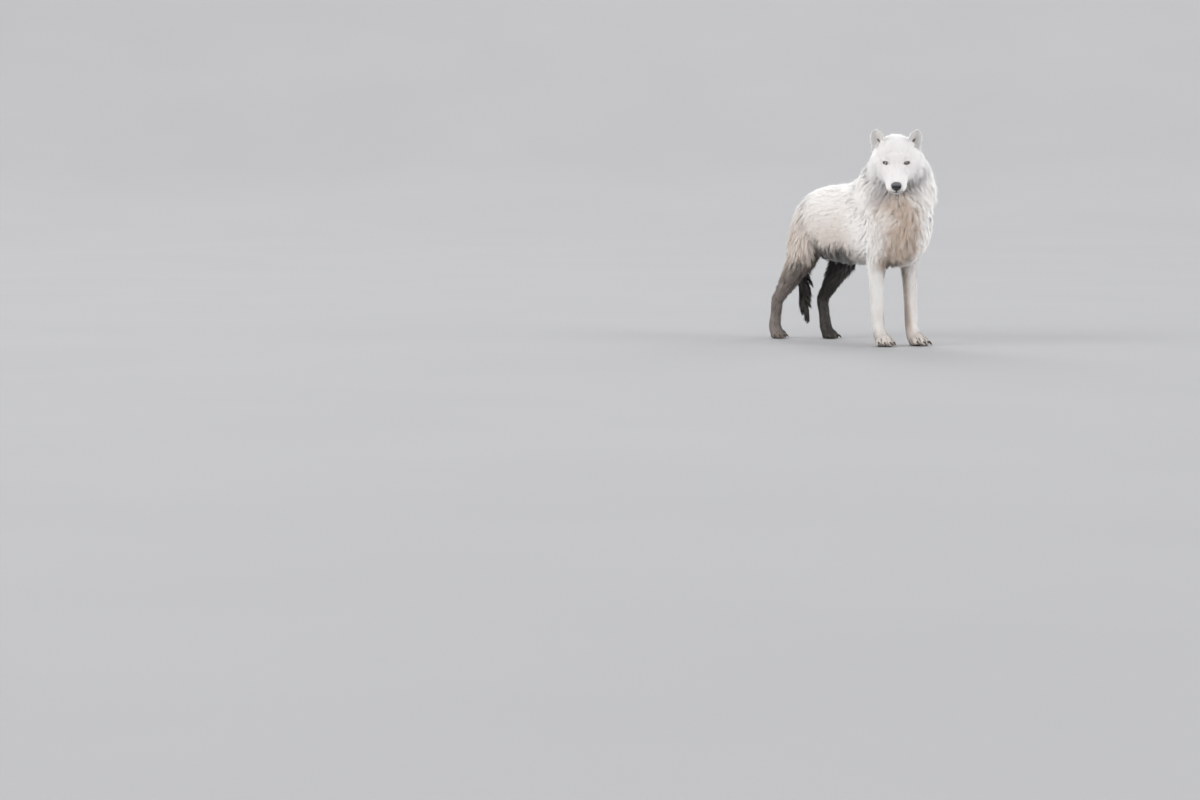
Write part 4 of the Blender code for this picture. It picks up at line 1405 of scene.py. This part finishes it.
def nose_material():
    """Bare leather: black, pebbled, half dull, with a lighter blue-grey along the top that is partly dust
    and partly a painted reflection of the sky.
    """
    material, tree, shader = surface("nose_leather", {
        "Specular IOR Level": 0.45,
        "Coat Weight": 0.35,
        "Coat Roughness": 0.3,
    })
    place = added(tree, "ShaderNodeTexCoord")
    pebbles = added(tree, "ShaderNodeTexVoronoi", {"Scale": 900.0})
    tone = added(tree, "ShaderNodeTexNoise", {"Scale": 90.0})
    colour = graded(tree, (0.0, (0.006, 0.006, 0.008)), (1.0, (0.018, 0.019, 0.024)))
    sheen = added(tree, "ShaderNodeMapRange", {"To Min": 0.32, "To Max": 0.52})
    bump = added(tree, "ShaderNodeBump", {"Strength": 0.5, "Distance": 0.0004})
    # Painted reflection of the sky, with some dust: the top of the pad is mixed towards a pale blue-grey.
    sky_sheen_and_dust = added(tree, "ShaderNodeAttribute", attribute_name="sky_sheen_and_dust")
    lightened_top = added(tree, "ShaderNodeMix", data_type="RGBA")
    lightened_top.inputs["B"].default_value = (0.115, 0.118, 0.135, 1)
    wired(
        tree,
        (place, "Object", pebbles, "Vector"),
        (place, "Object", tone, "Vector"),
        (tone, "Fac", colour, "Fac"),
        (tone, "Fac", sheen, "Value"),
        (sky_sheen_and_dust, "Fac", lightened_top, "Factor"),
        (colour, "Color", lightened_top, "A"),
        (lightened_top, "Result", shader, "Base Color"),
        (sheen, "Result", shader, "Roughness"),
        (pebbles, "Distance", bump, "Height"),
        (bump, "Normal", shader, "Normal"),
    )
    return material


pad = nose_mesh()
# The top of the pad is marked for the painted sky reflection and dust.
height = head_place(points_of(pad))[:, 2]
hold(pad, "sky_sheen_and_dust", 0.8 * eased(-0.050, -0.042, height))
pad.materials.append(nose_material())
nose_pad = linked("nose_pad", pad)
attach(nose_pad, "root")
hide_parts("nose")


# ==== Claws ====
# Sixteen curved horn claws, dark and worn blunt, each growing out of the end of a toe.

def claw_material():
    """Horn: nearly black, streaked paler along the grain, half polished by the ground."""
    material, tree, shader = surface("claw_horn", {"Roughness": 0.38})
    place = added(tree, "ShaderNodeTexCoord")
    streaks = added(tree, "ShaderNodeTexNoise", {"Scale": 260.0, "Detail": 3.0})
    horn = graded(tree, (0.35, (0.018, 0.015, 0.014)), (0.75, (0.085, 0.066, 0.055)))
    bump = added(tree, "ShaderNodeBump", {"Strength": 0.4, "Distance": 0.0004})
    wired(
        tree,
        (place, "Object", streaks, "Vector"),
        (streaks, "Fac", horn, "Fac"),
        (horn, "Color", shader, "Base Color"),
        (streaks, "Fac", bump, "Height"),
        (bump, "Normal", shader, "Normal"),
    )
    return material


CLAW_HORN = claw_material()
CLAW_RINGS = 9
CLAW_SIDES = 12
TOES = [(-0.0330, 0.034), (-0.0125, 0.052), (0.0125, 0.052), (0.0330, 0.034)]  # aside, and reach forwards


def claw_mesh(place):
    """Four claws: each a hook of nine rings, deeper than wide."""
    bm = bmesh.new()
    for x, reach in TOES:
        # base, two points of the curve, tip
        bend = [
            Vector((x * 1.00, -reach * 0.98, 0.0180)),
            Vector((x * 1.06, -reach - 0.0110, 0.0215)),
            Vector((x * 1.11, -reach - 0.0215, 0.0150)),
            Vector((x * 1.14, -reach - 0.0268, 0.0030)),
        ]
        rings = []
        for j in range(CLAW_RINGS + 1):
            t = j / CLAW_RINGS
            centre = (
                bend[0] * (1 - t) ** 3 + bend[1] * 3 * t * (1 - t) ** 2
                + bend[2] * 3 * t * t * (1 - t) + bend[3] * t ** 3
            )
            run = (
                (bend[1] - bend[0]) * (1 - t) ** 2 + (bend[2] - bend[1]) * 2 * t * (1 - t)
                + (bend[3] - bend[2]) * t * t
            ).normalized()
            out = Vector((1, 0, 0))
            up = out.cross(run).normalized()
            thick = (1 - t ** 1.6) ** 0.75
            if j == CLAW_RINGS:
                rings.append([bm.verts.new(centre)])
                continue
            ring = []
            for i in range(CLAW_SIDES):
                a = 2 * math.pi * i / CLAW_SIDES
                aside = out * (0.0033 * thick * math.cos(a))
                ring.append(bm.verts.new(centre + aside + up * (0.0046 * thick * math.sin(a))))
            rings.append(ring)
        for a, b in zip(rings, rings[1:]):
            for i in range(CLAW_SIDES):
                n = (i + 1) % CLAW_SIDES
                if len(b) > 1:
                    bm.faces.new((a[i], a[n], b[n], b[i]))
                else:
                    bm.faces.new((a[i], a[n], b[0]))
        bm.faces.new(rings[0])
    bmesh.ops.recalc_face_normals(bm, faces=bm.faces)
    bm.transform(place)
    mesh = cast(bm, "claws")
    mesh.shade_smooth()
    return mesh


for name, place in FEET.items():
    mesh = claw_mesh(place)
    mesh.materials.append(CLAW_HORN)
    claws = linked(f"claws_{name}", mesh)
    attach(claws, "root")
    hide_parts(*(f"claw_{name}_{number}" for number in range(1, 5)))
